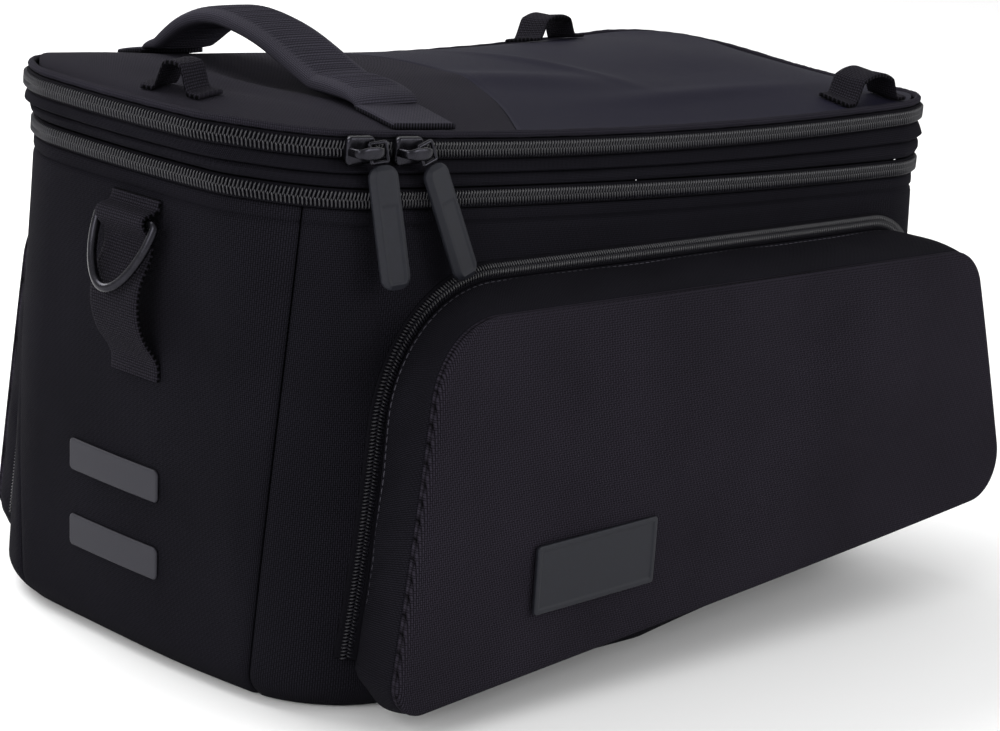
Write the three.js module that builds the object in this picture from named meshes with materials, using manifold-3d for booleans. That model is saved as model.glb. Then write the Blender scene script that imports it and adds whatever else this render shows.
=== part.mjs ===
// Rack bag for a bicycle: a hollow padded body with a zipped lid, an expansion gusset and two side pockets.
// Millimetres, +Z up. The base rests on z = 0 about the origin, the light loop is on the -X end and the
// near long side faces -Y.

import * as THREE from 'three';
import Module from 'manifold-3d';

const wasm = await Module();
wasm.setup();

// Driving dimensions of the body, each level a rounded rectangle in plan
const foot = { halfLength: 169, halfWidth: 106, corner: 39, farCorner: 55 };
const lowerRim = { halfLength: 181, halfWidth: 85.5, corner: 36, farCorner: 52, height: 182 };
const gussetRise = 18;
const upperRim = {
  halfLength: 188,
  halfWidth: 80.5,
  corner: 36,
  farCorner: 50,
  height: lowerRim.height + gussetRise,
};
const endBulge = 8;
const sideBulge = 2;
const wallThickness = 4;
const baseThickness = 4;
const baseRoll = 8;
const rollShare = 0.06;

// The near side is tucked in under its pocket towards the front, by a share of the foot's half width
const frontTuck = { share: 0.36, upTo: 0.24 };

// Where the walls' corner seams run, as shares of the corner from the long side, at the foot and at the rim
const seamRun = { foot: 0.93, rim: 0.44 };
const clearance = 0.3;
const softClearance = 0.5;
const pocketSeat = 1.8;
const seamGap = 0.4;

// The soft rims sink: droop is the drop at the +X end, sag the dip halfway along, frontSag the dip of the +X end
const lowerSink = { nearDroop: 12, farDroop: 4, nearSag: 3, farSag: 3, frontSag: 3 };
const upperSink = { nearDroop: 9, farDroop: 3, nearSag: 6, farSag: 9, frontSag: 6 };

// Zips, as the width and thickness of the coil with its two tapes
const lowerZip = { width: 7, thickness: 3 };
const upperZip = { width: 7, thickness: 3.2 };
const pocketZip = { width: 6, thickness: 2 };
const gussetThickness = 2;
const weltRadius = 1.2;

// Lid
const lidThickness = 3;
const lidDome = 12;
const lidFrontLoss = 0.3;
const lidCrest = 0.15;
const seamMiddle = -38;
const seamSweep = 30;

// Carrying handle across the lid
const handleRise = 27.5;
const handle = { x: -113, width: 30, thickness: 7, crest: upperRim.height + handleRise, nearEnd: -56, farEnd: 62 };
const tabThickness = 2;
const tabEdge = 0.5;

// Webbing loops on the lid
const loopThickness = 1.6;
const loopFoot = 5;

// Light loop and its D-ring on the rear end
const lightLoop = { y: -15, width: 25, thickness: 1.8, top: 171, bottom: 106, bow: 6.8 };
const dRing = { width: 34, height: 29, wire: 3.4, lean: 20, pivotOut: 5.2, below: 8 };
const reflector = { y: -2, width: 50, height: 12, thickness: 0.8, upper: 67, lower: 38, corner: 2 };

// Zip sliders and their hanging pulls
const slider = { length: 12.5, height: 10.5, plate: 2.2, bridge: 3, bar: 1.6, opening: 4.4 };
const link = { width: 7.8, wire: 1.4, drop: 4.6 };
const pull = { width: 11, length: 42.5, thickness: 4.2, lean: 11, proud: 1 };

// Side pockets: corners of the mouth on the body and of the front face
const nearPocket = {
  side: -1,
  reachLow: 137,
  reachHigh: 129.5,
  mouth: [
    { x: -151, z: 8, radius: 10 },
    { x: 163, z: 30, radius: 14 },
    { x: 153, z: 147, radius: 26 },
    { x: -135, z: 148, radius: 52 },
  ],
  face: [
    { x: -164, z: 9, radius: 12 },
    { x: 181, z: 42, radius: 18 },
    { x: 150, z: 145, radius: 18 },
    { x: -146, z: 146, radius: 30 },
  ],
};
// The far pocket is empty, so it lies flatter
const farPocket = {
  side: 1,
  reachLow: 119,
  reachHigh: 113,
  mouth: [
    { x: -150, z: 8, radius: 10 },
    { x: 148, z: 30, radius: 14 },
    { x: 140, z: 147, radius: 26 },
    { x: -143, z: 148, radius: 30 },
  ],
  face: [
    { x: -143, z: 9, radius: 12 },
    { x: 156, z: 42, radius: 18 },
    { x: 136, z: 145, radius: 18 },
    { x: -138, z: 146, radius: 30 },
  ],
};
const pocketFaceThickness = 4;
const pocketGussetThickness = 2.5;
const pocketCrown = 3;
const label = { x: -70.5, z: 52, width: 61, height: 25, thickness: 0.8, slope: 0.04, corner: 1.5 };

const { lerp, degToRad } = THREE.MathUtils;
const shares = (from, to, steps) => Array.from({ length: steps + 1 }, (_, i) => lerp(from, to, i / steps));

// Solids

function solid(points, triangles, flipped = false) {
  const geometry = new THREE.BufferGeometry();
  geometry.setAttribute('position', new THREE.Float32BufferAttribute(points.flatMap((p) => p.toArray()), 3));
  const faces = flipped ? triangles.map(([a, b, c]) => [a, c, b]) : triangles;
  geometry.setIndex(faces.flat());
  geometry.computeVertexNormals();
  return geometry;
}

// A sheet of two matching point grids, outer[i][j] and inner[i][j]; closed joins the last row to the first.
function sheet(outer, inner, closed, flipped = false) {
  const rows = outer.length;
  const columns = outer[0].length;
  const points = [...outer.flat(), ...inner.flat()];
  const triangles = [];
  const front = (i, j) => (i % rows) * columns + j;
  const back = (i, j) => rows * columns + front(i, j);
  const quad = (a, b, c, d) => triangles.push([a, b, c], [a, c, d]);
  const steps = closed ? rows : rows - 1;
  for (let i = 0; i < steps; i++) {
    for (let j = 0; j < columns - 1; j++) {
      quad(front(i, j), front(i + 1, j), front(i + 1, j + 1), front(i, j + 1));
      quad(back(i, j), back(i, j + 1), back(i + 1, j + 1), back(i + 1, j));
    }
    quad(front(i, 0), back(i, 0), back(i + 1, 0), front(i + 1, 0));
    quad(front(i, columns - 1), front(i + 1, columns - 1), back(i + 1, columns - 1), back(i, columns - 1));
  }
  if (!closed) {
    for (let j = 0; j < columns - 1; j++) {
      quad(front(0, j), front(0, j + 1), back(0, j + 1), back(0, j));
      quad(front(rows - 1, j), back(rows - 1, j), back(rows - 1, j + 1), front(rows - 1, j + 1));
    }
  }
  return solid(points, triangles, flipped);
}

// A bar through a list of matching cross-sections; closed joins the last to the first, else the ends are capped.
function bar(sections, closed, flipped = false) {
  const rows = sections.length;
  const sides = sections[0].length;
  const triangles = [];
  const at = (i, k) => (i % rows) * sides + (k % sides);
  for (let i = 0; i < (closed ? rows : rows - 1); i++) {
    for (let k = 0; k < sides; k++) {
      triangles.push([at(i, k), at(i + 1, k), at(i + 1, k + 1)], [at(i, k), at(i + 1, k + 1), at(i, k + 1)]);
    }
  }
  if (!closed) {
    for (let k = 1; k < sides - 1; k++) {
      triangles.push([at(0, 0), at(0, k), at(0, k + 1)]);
      triangles.push([at(rows - 1, 0), at(rows - 1, k + 1), at(rows - 1, k)]);
    }
  }
  return solid(sections.flat(), triangles, flipped);
}

// A plate with a convex outline: rings of points step in from the outline to a middle point on both faces.
function plate(outline, place, thickness, rings, flipped = false) {
  const count = outline.length;
  const middle = new THREE.Vector2();
  outline.forEach((p) => middle.addScaledVector(p, 1 / count));
  const points = [];
  const triangles = [];
  for (const depth of [0, -thickness]) {
    for (const ring of rings) {
      for (const p of outline) {
        const q = middle.clone().lerp(p, ring);
        points.push(place(q.x, q.y, depth));
      }
    }
    points.push(place(middle.x, middle.y, depth));
  }
  const perFace = rings.length * count + 1;
  for (const face of [0, 1]) {
    const start = face * perFace;
    const add = (a, b, c) => triangles.push(face === 0 ? [a, b, c] : [a, c, b]);
    for (let i = 0; i < count; i++) {
      const next = (i + 1) % count;
      for (let r = 0; r < rings.length - 1; r++) {
        const outerRow = start + r * count;
        const innerRow = outerRow + count;
        add(outerRow + i, outerRow + next, innerRow + next);
        add(outerRow + i, innerRow + next, innerRow + i);
      }
      const last = start + (rings.length - 1) * count;
      add(last + i, last + next, start + perFace - 1);
    }
  }
  for (let i = 0; i < count; i++) {
    const next = (i + 1) % count;
    triangles.push([i, perFace + i, perFace + next], [i, perFace + next, next]);
  }
  return solid(points, triangles, flipped);
}

// A polygon with rounded corners, counter-clockwise: steps on each corner and edgeSteps on each straight,
// which lie closer near the corners.
function roundedPolygon(corners, steps, edgeSteps = 1) {
  const points = [];
  corners.forEach((corner, index) => {
    const here = new THREE.Vector2(corner.x, corner.z);
    const before = corners[(index + corners.length - 1) % corners.length];
    const after = corners[(index + 1) % corners.length];
    const toBefore = new THREE.Vector2(before.x, before.z).sub(here).normalize();
    const toAfter = new THREE.Vector2(after.x, after.z).sub(here).normalize();
    const half = Math.acos(toBefore.dot(toAfter)) / 2;
    const reach = corner.radius / Math.tan(half);
    const start = here.clone().addScaledVector(toBefore, reach);
    const end = here.clone().addScaledVector(toAfter, reach);
    const bisector = toBefore.clone().add(toAfter).normalize();
    const centre = here.clone().addScaledVector(bisector, corner.radius / Math.sin(half));
    const from = start.sub(centre).angle();
    let turn = end.sub(centre).angle() - from;
    if (turn < 0) turn += 2 * Math.PI;
    for (let k = 0; k <= steps; k++) {
      const angle = from + (turn * k) / steps;
      points.push(new THREE.Vector2(Math.cos(angle), Math.sin(angle)).multiplyScalar(corner.radius).add(centre));
    }
  });
  const perCorner = steps + 1;
  return points.flatMap((p, i) => {
    if ((i + 1) % perCorner) return [p];
    const next = points[(i + 1) % points.length];
    const along = shares(0, 1, edgeSteps).map((t) => (1 - Math.cos(Math.PI * t)) / 2);
    return along.slice(0, edgeSteps).map((t) => p.clone().lerp(next, t));
  });
}

function roundedRectangle(x, z, width, height, radius, steps, slope = 0) {
  const corner = (sx, sz) => {
    const dx = (sx * width) / 2;
    return { x: x + dx, z: z + (sz * height) / 2 + slope * dx, radius };
  };
  return roundedPolygon([corner(-1, -1), corner(1, -1), corner(1, 1), corner(-1, 1)], steps);
}

// Outward direction at each point of a counter-clockwise outline
function outlineNormals(outline) {
  return outline.map((p, i) => {
    const before = outline[(i + outline.length - 1) % outline.length];
    const after = outline[(i + 1) % outline.length];
    const along = after.clone().sub(before).normalize();
    return new THREE.Vector2(along.y, -along.x);
  });
}

function toManifold(geometry) {
  const position = geometry.attributes.position;
  const keys = new Map();
  const vertices = [];
  const remap = [];
  for (let i = 0; i < position.count; i++) {
    const point = [position.getX(i), position.getY(i), position.getZ(i)];
    const key = point.map((c) => c.toFixed(4)).join();
    if (!keys.has(key)) {
      keys.set(key, vertices.length / 3);
      vertices.push(...point);
    }
    remap.push(keys.get(key));
  }
  const order = geometry.index ? Array.from(geometry.index.array) : remap.map((_, i) => i);
  const triVerts = Uint32Array.from(order.map((i) => remap[i]));
  return new wasm.Manifold(new wasm.Mesh({ numProp: 3, vertProperties: Float32Array.from(vertices), triVerts }));
}

function fromManifold(manifold) {
  const mesh = manifold.getMesh();
  const geometry = new THREE.BufferGeometry();
  geometry.setAttribute('position', new THREE.Float32BufferAttribute(mesh.vertProperties, 3));
  geometry.setIndex(Array.from(mesh.triVerts));
  geometry.computeVertexNormals();
  return geometry;
}

// Shape of the body

// Plan of one level: equal shares of the way round for each long side, corner and end, counter-clockwise
// from the near side's -X end.
const stretch = { side: 0.18, corner: 0.09, end: 0.14 };
const ringSteps = { side: 8, corner: 4, end: 6 };

function levelAt(low, high, share) {
  return {
    halfLength: lerp(low.halfLength, high.halfLength, share),
    halfWidth: lerp(low.halfWidth, high.halfWidth, share),
    corner: lerp(low.corner, high.corner, share),
    farCorner: lerp(low.farCorner, high.farCorner, share),
  };
}

// Ends and sides swell outwards in plan
function swell(x, y, level) {
  const along = x / level.halfLength;
  const across = y / level.halfWidth;
  return [
    x + endBulge * along * Math.abs(along) ** 3 * (1 - across * across),
    y + sideBulge * across * Math.abs(across) ** 3 * (1 - along * along),
  ];
}

function planPoint(level, s) {
  const { halfLength, halfWidth } = level;
  const walk = ((s % 1) + 1) % 1;
  const half = walk % 0.5;
  const turned = walk >= 0.5 ? -1 : 1;
  const [first, second] = turned > 0 ? [level.corner, level.farCorner] : [level.farCorner, level.corner];
  const straightX = halfLength - first;
  let x;
  let y;
  if (half < stretch.side) {
    x = lerp(-straightX, straightX, half / stretch.side);
    y = -halfWidth;
  } else if (half < stretch.side + stretch.corner) {
    const angle = (((half - stretch.side) / stretch.corner) * Math.PI) / 2;
    x = straightX + first * Math.sin(angle);
    y = first - halfWidth - first * Math.cos(angle);
  } else if (half < stretch.side + stretch.corner + stretch.end) {
    x = halfLength;
    y = lerp(first - halfWidth, halfWidth - second, (half - stretch.side - stretch.corner) / stretch.end);
  } else {
    const angle = (((half - stretch.side - stretch.corner - stretch.end) / stretch.corner) * Math.PI) / 2;
    x = halfLength - second + second * Math.cos(angle);
    y = halfWidth - second + second * Math.sin(angle);
  }
  return new THREE.Vector2(...swell(turned * x, turned * y, level));
}

function planNormal(level, s) {
  const step = 1e-4;
  const along = planPoint(level, s + step).sub(planPoint(level, s - step)).normalize();
  return new THREE.Vector2(along.y, -along.x);
}

// Height of a soft rim over a point of the plan
function rimHeight(rim, sink, x, y) {
  const along = THREE.MathUtils.clamp(x / rim.halfLength, -1, 1);
  const far = THREE.MathUtils.clamp((1 + y / rim.halfWidth) / 2, 0, 1);
  const droop = lerp(sink.nearDroop, sink.farDroop, far);
  const sag = lerp(sink.nearSag, sink.farSag, far);
  const front = Math.max(0, along) ** 4 * far * (1 - far) * 4;
  return rim.height - (droop * (1 + along)) / 2 - sag * (1 - along * along) - sink.frontSag * front;
}

const lowerHeight = (x, y) => rimHeight(lowerRim, lowerSink, x, y);
const upperHeight = (x, y) => rimHeight(upperRim, upperSink, x, y);

function ringPoint(level, s, lift, z) {
  const p = planPoint(level, s).addScaledVector(planNormal(level, s), lift);
  return new THREE.Vector3(p.x, p.y, z);
}

// How much of the half width is left where the near side is tucked in
function tuckAt(x, share) {
  const forward = THREE.MathUtils.clamp(x / foot.halfLength, 0, 1);
  return 1 - frontTuck.share * forward * (1 - Math.min(1, share / frontTuck.upTo)) ** 2;
}

function tucked(p, share) {
  if (p.y < 0) p.y *= tuckAt(p.x, share);
  return p;
}

// A point on the body's wall: share 0 at the foot, 1 at the lower rim
function wallPoint(s, share, lift) {
  const rim = planPoint(lowerRim, s);
  const roll = baseRoll * (1 - Math.min(1, share / rollShare)) ** 2;
  const z = share * lowerHeight(rim.x, rim.y);
  return tucked(ringPoint(levelAt(foot, lowerRim, share), s, lift - roll, z), share);
}

// Half width of a level's plan at x on one side, -1 near or 1 far, before it swells
function halfWidthAt(level, x, side) {
  const corner = side < 0 ? level.corner : level.farCorner;
  const into = Math.max(0, Math.abs(x) - (level.halfLength - corner));
  const rest = Math.sqrt(Math.max(0, corner ** 2 - into ** 2));
  return level.halfWidth - corner + rest;
}

// Distance of the body's long side from the middle plane at x and height z; side is -1 near, 1 far
function sideReach(x, z, side) {
  const share = z / lowerHeight(x, side * lowerRim.halfWidth);
  const level = levelAt(foot, lowerRim, share);
  let flatX = x;
  for (let tries = 0; tries < 4; tries++) {
    flatX -= swell(flatX, side * halfWidthAt(level, flatX, side), level)[0] - x;
  }
  const reach = Math.abs(swell(flatX, side * halfWidthAt(level, flatX, side), level)[1]);
  return side < 0 ? reach * tuckAt(x, share) : reach;
}

// Distance of the rear end from the middle at y and height z
function endReach(y, z) {
  const share = z / lowerHeight(-lowerRim.halfLength, y);
  const level = levelAt(foot, lowerRim, share);
  return Math.abs(swell(-level.halfLength, y, level)[0]);
}

// Body

const wallRows = [0, 0.025, 0.06, 0.12, 0.24, 0.6, 1];

// One wall from start to stop; both move with the corner seams by a share of the corner, out or in
function wallPanel(start, stop, outward, steps) {
  const cornerLength = (Math.PI / 2) * lowerRim.corner;
  const gapShare = (seamGap / 2 / cornerLength) * stretch.corner;
  const way = (t, share) => {
    const seam = outward * stretch.corner * lerp(seamRun.foot, seamRun.rim, share) - gapShare;
    return lerp(start - seam, stop + seam, t);
  };
  const height = (s, share) => {
    const rim = planPoint(lowerRim, s);
    const trimmed = lowerZip.width / 2 + clearance;
    return lerp(clearance / lowerRim.height, 1 - trimmed / lowerHeight(rim.x, rim.y), share);
  };
  const grid = (lift) => shares(0, 1, steps).map((t) => wallRows.map((share) => {
    const s = way(t, share);
    return wallPoint(s, height(s, share), lift);
  }));
  return sheet(grid(0), grid(-wallThickness), false);
}

function basePanel() {
  const outline = new THREE.Shape();
  const points = shares(0, 1, 48)
    .slice(0, 48)
    .map((s) => {
      const inset = baseRoll + wallThickness + 2 * softClearance;
      return tucked(planPoint(foot, s).addScaledVector(planNormal(foot, s), -inset), 0);
    });
  outline.setFromPoints(points);
  return new THREE.ExtrudeGeometry(outline, { depth: baseThickness, bevelEnabled: false });
}

// A band right round the bag that follows a rim; section lists its corners as outward and up
function rimBand(level, height, section) {
  const ways = [];
  for (const [start, length, steps] of [
    [0, stretch.side, ringSteps.side],
    [stretch.side, stretch.corner, ringSteps.corner],
    [stretch.side + stretch.corner, stretch.end, ringSteps.end],
    [stretch.side + stretch.corner + stretch.end, stretch.corner, ringSteps.corner],
  ]) {
    for (let i = 0; i < steps; i++) ways.push(start + (length * i) / steps);
  }
  const round = [...ways, ...ways.map((s) => s + 0.5)];
  const sections = round.map((s) => {
    const p = planPoint(level, s);
    const z = height(p.x, p.y);
    return section.map(([out, up]) => ringPoint(level, s, out, z + up));
  });
  return { round, geometry: bar(sections, true) };
}

// Zip band: flat tapes either side of a raised coil
function zipSection({ width, thickness }) {
  const tape = thickness * 0.4;
  const coil = width * 0.32;
  return [
    [-tape, -width / 2],
    [0, -width / 2],
    [thickness - tape, -coil / 2],
    [thickness - tape, coil / 2],
    [0, width / 2],
    [-tape, width / 2],
  ];
}

// Rows of the gusset from the lower to the upper zip, with its crease; out is in millimetres from the straight
const gussetRows = [
  { share: 0, out: 0 },
  { share: 0.25, out: 1.6 },
  { share: 0.48, out: -1.2 },
  { share: 0.62, out: 1.4 },
  { share: 0.85, out: 0.5 },
  { share: 1, out: 0 },
];

function expansionGusset(round) {
  const point = (s, row, lift) => {
    const low = planPoint(lowerRim, s);
    const high = planPoint(upperRim, s);
    const from = lowerHeight(low.x, low.y) + lowerZip.width / 2 + clearance;
    const to = upperHeight(high.x, high.y) - upperZip.width / 2 - clearance;
    return ringPoint(levelAt(lowerRim, upperRim, row.share), s, row.out + lift, lerp(from, to, row.share));
  };
  const grid = (lift) => round.map((s) => gussetRows.map((row) => point(s, row, lift)));
  return sheet(grid(0), grid(-gussetThickness), true);
}

// Lid

// Dents and folds, lengths as shares of the rim's half length and half width; rise in shares of the dome
const lidFolds = [
  { along: -0.64, across: 0.0, reachAlong: 0.13, reachAcross: 0.55, turn: 0, rise: -0.5 },
  { along: -0.84, across: -0.25, reachAlong: 0.07, reachAcross: 0.4, turn: 12, rise: -0.25 },
  { along: -0.06, across: -0.3, reachAlong: 0.24, reachAcross: 0.12, turn: -20, rise: 0.16 },
  { along: 0.35, across: -0.62, reachAlong: 0.3, reachAcross: 0.1, turn: 6, rise: 0.14 },
  { along: 0.55, across: -0.3, reachAlong: 0.3, reachAcross: 0.22, turn: 8, rise: -0.12 },
];

function lidHeight(x, y) {
  const along = x / upperRim.halfLength;
  const across = y / upperRim.halfWidth;
  const side = Math.max(0, 1 - Math.abs(across) ** 3);
  const crest = 1 - Math.abs(across - lidCrest) ** 2 / (1 + lidCrest) ** 2;
  const ends = Math.max(0, 1 - Math.abs(along) ** 5);
  const dome = lidDome * (1 - (lidFrontLoss * (1 + along)) / 2);
  let folded = 0;
  for (const fold of lidFolds) {
    const turn = degToRad(fold.turn);
    const dx = along - fold.along;
    const dy = across - fold.across;
    const u = (dx * Math.cos(turn) + dy * Math.sin(turn)) / fold.reachAlong;
    const v = (dy * Math.cos(turn) - dx * Math.sin(turn)) / fold.reachAcross;
    folded += fold.rise * Math.exp(-u * u - v * v);
  }
  const full = (ends * side * crest) ** 0.7;
  return upperHeight(x, y) + weltRise + dome * full * (1 + folded) + dome * folded * 0.3 * full;
}

const weltRise = upperZip.width / 2 + clearance + weltRadius;
const weltCentre = -weltRadius;
const lidInset = 2 * weltRadius + 3 * softClearance;
const lidPlan = {
  halfLength: upperRim.halfLength - lidInset,
  halfWidth: upperRim.halfWidth - lidInset,
  corner: upperRim.corner - lidInset,
  farCorner: upperRim.farCorner - lidInset,
};

const seamAt = (across) => seamMiddle - seamSweep * across * across;

// The lid's fabric between two lines across it, given as functions of the share across
function lidPanel(from, to, steps) {
  const acrossShares = shares(-1, 1, 12).map((t) => Math.sin((t * Math.PI) / 2));
  const flatPoint = (t, across) => {
    const x = lerp(from(across), to(across), t);
    return swell(x, across * halfWidthAt(lidPlan, x, across), lidPlan);
  };
  const grid = (lift) => steps.map((t) =>
    acrossShares.map((across) => {
      const [x, y] = flatPoint(t, across);
      return new THREE.Vector3(x, y, lidHeight(x, y) + lift);
    }));
  return sheet(grid(0), grid(-lidThickness), false);
}

const easeIn = (steps) => shares(0, 1, steps).map((t) => 1 - Math.cos((t * Math.PI) / 2));
const easeOut = (steps) => shares(0, 1, steps).map((t) => Math.sin((t * Math.PI) / 2));

// Highest point of the lid under a strip of the given half width along X
function lidUnder(x, y, half) {
  return Math.max(...[-1, -0.5, 0, 0.5, 1].map((k) => lidHeight(x + k * half, y)));
}

// Handle

// Arch of the grip from the near end to the far end; rise is a share of the crest's height over the rim
const archRows = [
  { across: -1, rise: 0.02 },
  { across: -0.72, rise: 0.2 },
  { across: -0.38, rise: 0.52 },
  { across: -0.06, rise: 0.83 },
  { across: 0.17, rise: 0.96 },
  { across: 0.36, rise: 1 },
  { across: 0.6, rise: 0.86 },
  { across: 0.84, rise: 0.46 },
  { across: 1, rise: 0.04 },
];

function handleGrip() {
  const { x, width, thickness, crest, nearEnd, farEnd } = handle;
  const base = upperHeight(x, 0) + weltRise + thickness;
  const reach = (across) => lerp(nearEnd, farEnd, (1 + across) / 2);
  const curve = new THREE.CatmullRomCurve3(
    archRows.map((row) => new THREE.Vector3(0, reach(row.across), lerp(base, crest, row.rise) - thickness / 2)),
  );
  const samples = curve.getPoints(24);
  const lying = samples.map((p) => {
    const rest = lidUnder(x, p.y, width / 2) + softClearance + thickness / 2;
    return new THREE.Vector3(x, p.y, Math.max(p.z, rest));
  });
  const sections = lying.map((p, i) => {
    const before = lying[Math.max(0, i - 1)];
    const after = lying[Math.min(lying.length - 1, i + 1)];
    const along = after.clone().sub(before).normalize();
    const up = new THREE.Vector3(0, -along.z, along.y);
    const corner = (dx, dz) => {
      const across = new THREE.Vector3((dx * width) / 2, 0, 0);
      return p.clone().add(across).addScaledVector(up, (dz * thickness) / 2);
    };
    return [corner(-1, -0.5), corner(-0.85, -1), corner(0.85, -1), corner(1, -0.5), corner(1, 0.5), corner(0.85, 1),
      corner(-0.85, 1), corner(-1, 0.5)].reverse();
  });
  return bar(sections, false, true);
}

function handleTab(from, to) {
  const { x, width } = handle;
  const ways = shares(from, to, 4);
  const cuts = [-0.5, -0.25, 0, 0.25, 0.5].map((k) => x + k * width);
  const grid = (lift) => cuts.map((px) => ways.map((y) => new THREE.Vector3(px, y, lidHeight(px, y) + lift)));
  return sheet(grid(softClearance + tabThickness), grid(softClearance), false, to < from);
}

// Webbing loops sewn to the lid's edge: an arch over the lid between two flat feet
const lidLoops = [
  { name: 'rear_lid_loop', x: -178, y: -22, turn: -82, span: 27, rise: 9, width: 12 },
  { name: 'near_lid_loop', x: 142, y: -68.5, turn: 3, span: 40, rise: 10, width: 15 },
  { name: 'far_lid_loop', x: 97, y: 69, turn: 4, span: 34, rise: 9, width: 15 },
];

function lidLoop({ x, y, turn, span, rise, width }) {
  const angle = degToRad(turn);
  const steps = 12;
  const sections = [];
  for (let i = 0; i <= steps; i++) {
    const t = i / steps;
    const along = lerp(-span / 2, span / 2, t);
    const inner = Math.min(1, Math.max(0, (span / 2 - Math.abs(along)) / loopFoot - 1));
    const arch = rise * Math.sin(Math.PI * t) ** 0.8 * Math.min(1, inner);
    const section = [];
    for (const [across, up] of [[-0.5, 0], [0.5, 0], [0.5, 1], [-0.5, 1]]) {
      const px = x + along * Math.cos(angle) - across * width * Math.sin(angle);
      const py = y + along * Math.sin(angle) + across * width * Math.cos(angle);
      const rest = lidHeight(px, py) + softClearance;
      const flat = lidHeight(x + along * Math.cos(angle), y + along * Math.sin(angle)) + softClearance;
      section.push(new THREE.Vector3(px, py, Math.max(rest, lerp(rest, flat, inner)) + arch + up * loopThickness));
    }
    sections.push(section);
  }
  return bar(sections, false, true);
}

// Rear end

const endPoint = (y, z, out) => new THREE.Vector3(-endReach(y, z) - out, y, z);

const ringPivotZ = lightLoop.top - dRing.below;
const strapOverRing = dRing.pivotOut + dRing.wire / 2 + 2 * softClearance + lightLoop.thickness;

// Outer face of the light loop's webbing: millimetres down from its top, or up from its foot, and out
function lightLoopPath() {
  const { top, bottom, thickness, bow } = lightLoop;
  const flat = softClearance + thickness;
  const path = new THREE.CatmullRomCurve3([
    new THREE.Vector3(flat, 0, top),
    new THREE.Vector3(flat + 0.6, 0, top - 3),
    new THREE.Vector3(strapOverRing - 1, 0, ringPivotZ + 2.6),
    new THREE.Vector3(strapOverRing, 0, ringPivotZ),
    new THREE.Vector3(strapOverRing - 1.2, 0, ringPivotZ - 2.8),
    new THREE.Vector3(flat + 0.5 * bow, 0, ringPivotZ - 7),
    new THREE.Vector3(flat + 0.75 * bow, 0, ringPivotZ - 15),
    new THREE.Vector3(flat + bow, 0, lerp(top, bottom, 0.6)),
    new THREE.Vector3(flat + 0.75 * bow, 0, bottom + 13),
    new THREE.Vector3(flat, 0, bottom + 5),
    new THREE.Vector3(flat, 0, bottom),
  ]);
  return path.getPoints(30);
}

function lightLoopStrap() {
  const { y, width, thickness } = lightLoop;
  const path = lightLoopPath();
  const sections = path.map((p, i) => {
    const before = path[Math.max(0, i - 1)];
    const after = path[Math.min(path.length - 1, i + 1)];
    const along = after.clone().sub(before).normalize();
    const out = new THREE.Vector2(-along.z, along.x);
    const corner = (side, depth) => endPoint(y + (side * width) / 2, p.z - out.y * depth, p.x - out.x * depth);
    return [corner(-1, 0), corner(1, 0), corner(1, thickness), corner(-1, thickness)];
  });
  return bar(sections, false, true);
}

// D-ring in its own frame: the bar lies along Y through the origin and the bow hangs to -Z
function dRingShape() {
  const half = (dRing.width - dRing.wire) / 2;
  const drop = dRing.height - dRing.wire;
  const outline = [];
  const steps = 16;
  for (let i = 0; i <= steps; i++) {
    const angle = Math.PI + (Math.PI * i) / steps;
    const flare = 1 - 0.12 * Math.sin(angle) ** 2;
    outline.push(new THREE.Vector2(half * Math.cos(angle) * flare, drop * Math.sin(angle)));
  }
  const normals = outlineNormals(outline);
  const sections = outline.map((p, i) =>
    shares(0, 1, 8).slice(0, 8).map((k) => {
      const angle = k * 2 * Math.PI;
      const out = (dRing.wire / 2) * Math.cos(angle);
      const q = p.clone().addScaledVector(normals[i], out);
      return new THREE.Vector3((-dRing.wire / 2) * Math.sin(angle), q.x, q.y);
    }));
  return bar(sections, true, true);
}

function reflectorBar(z) {
  const { y, width, height, thickness, corner } = reflector;
  const outline = roundedRectangle(y, z, width, height, corner, 3);
  const place = (py, pz, depth) => endPoint(py, pz, softClearance + thickness + depth);
  return plate(outline, place, thickness, [1, 0.7, 0.35], true);
}

// Zip sliders and pulls, in the slider's own frame: X along the zip, -Y outwards, +Z up

function box(width, depth, height, x, y, z) {
  return new THREE.BoxGeometry(width, depth, height).translate(x, y, z);
}

function sliderBody() {
  const { length, height, plate: thickness, bridge, bar: rod, opening } = slider;
  const outline = roundedPolygon([
    { x: -length / 2, z: -height / 2, radius: 1.5 },
    { x: length / 2, z: -height * 0.36, radius: 1.5 },
    { x: length / 2, z: height * 0.36, radius: 1.5 },
    { x: -length / 2, z: height / 2, radius: 1.5 },
  ], 3);
  const face = new THREE.ExtrudeGeometry(new THREE.Shape(outline), { depth: thickness, bevelEnabled: false });
  face.rotateX(Math.PI / 2);
  const reach = opening + rod;
  const postX = length / 2 - rod / 2;
  const sunk = 0.4;
  const post = (sign) => box(rod, reach + sunk, bridge, sign * postX, -thickness - (reach - sunk) / 2, 0);
  const top = box(length, rod, bridge, 0, -thickness - opening - rod / 2, 0);
  return fromManifold(toManifold(face).add(toManifold(post(-1))).add(toManifold(post(1))).add(toManifold(top)));
}

// Wire frame of a pull: its hinge line is the Y axis through the slider's post
function pullLink() {
  const { width, wire, drop } = link;
  const top = slider.bridge / 2 + 2 * clearance + wire;
  const outer = new THREE.Shape(roundedRectangle(0, (top - drop) / 2, width, top + drop, 1.6, 3));
  const inner = roundedRectangle(0, (top - drop) / 2, width - 2 * wire, top + drop - 2 * wire, 0.5, 1);
  outer.holes.push(new THREE.Path(inner.reverse()));
  const geometry = new THREE.ExtrudeGeometry(outer, { depth: wire, bevelEnabled: false });
  return geometry.translate(0, 0, -wire / 2).rotateX(Math.PI / 2);
}

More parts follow.
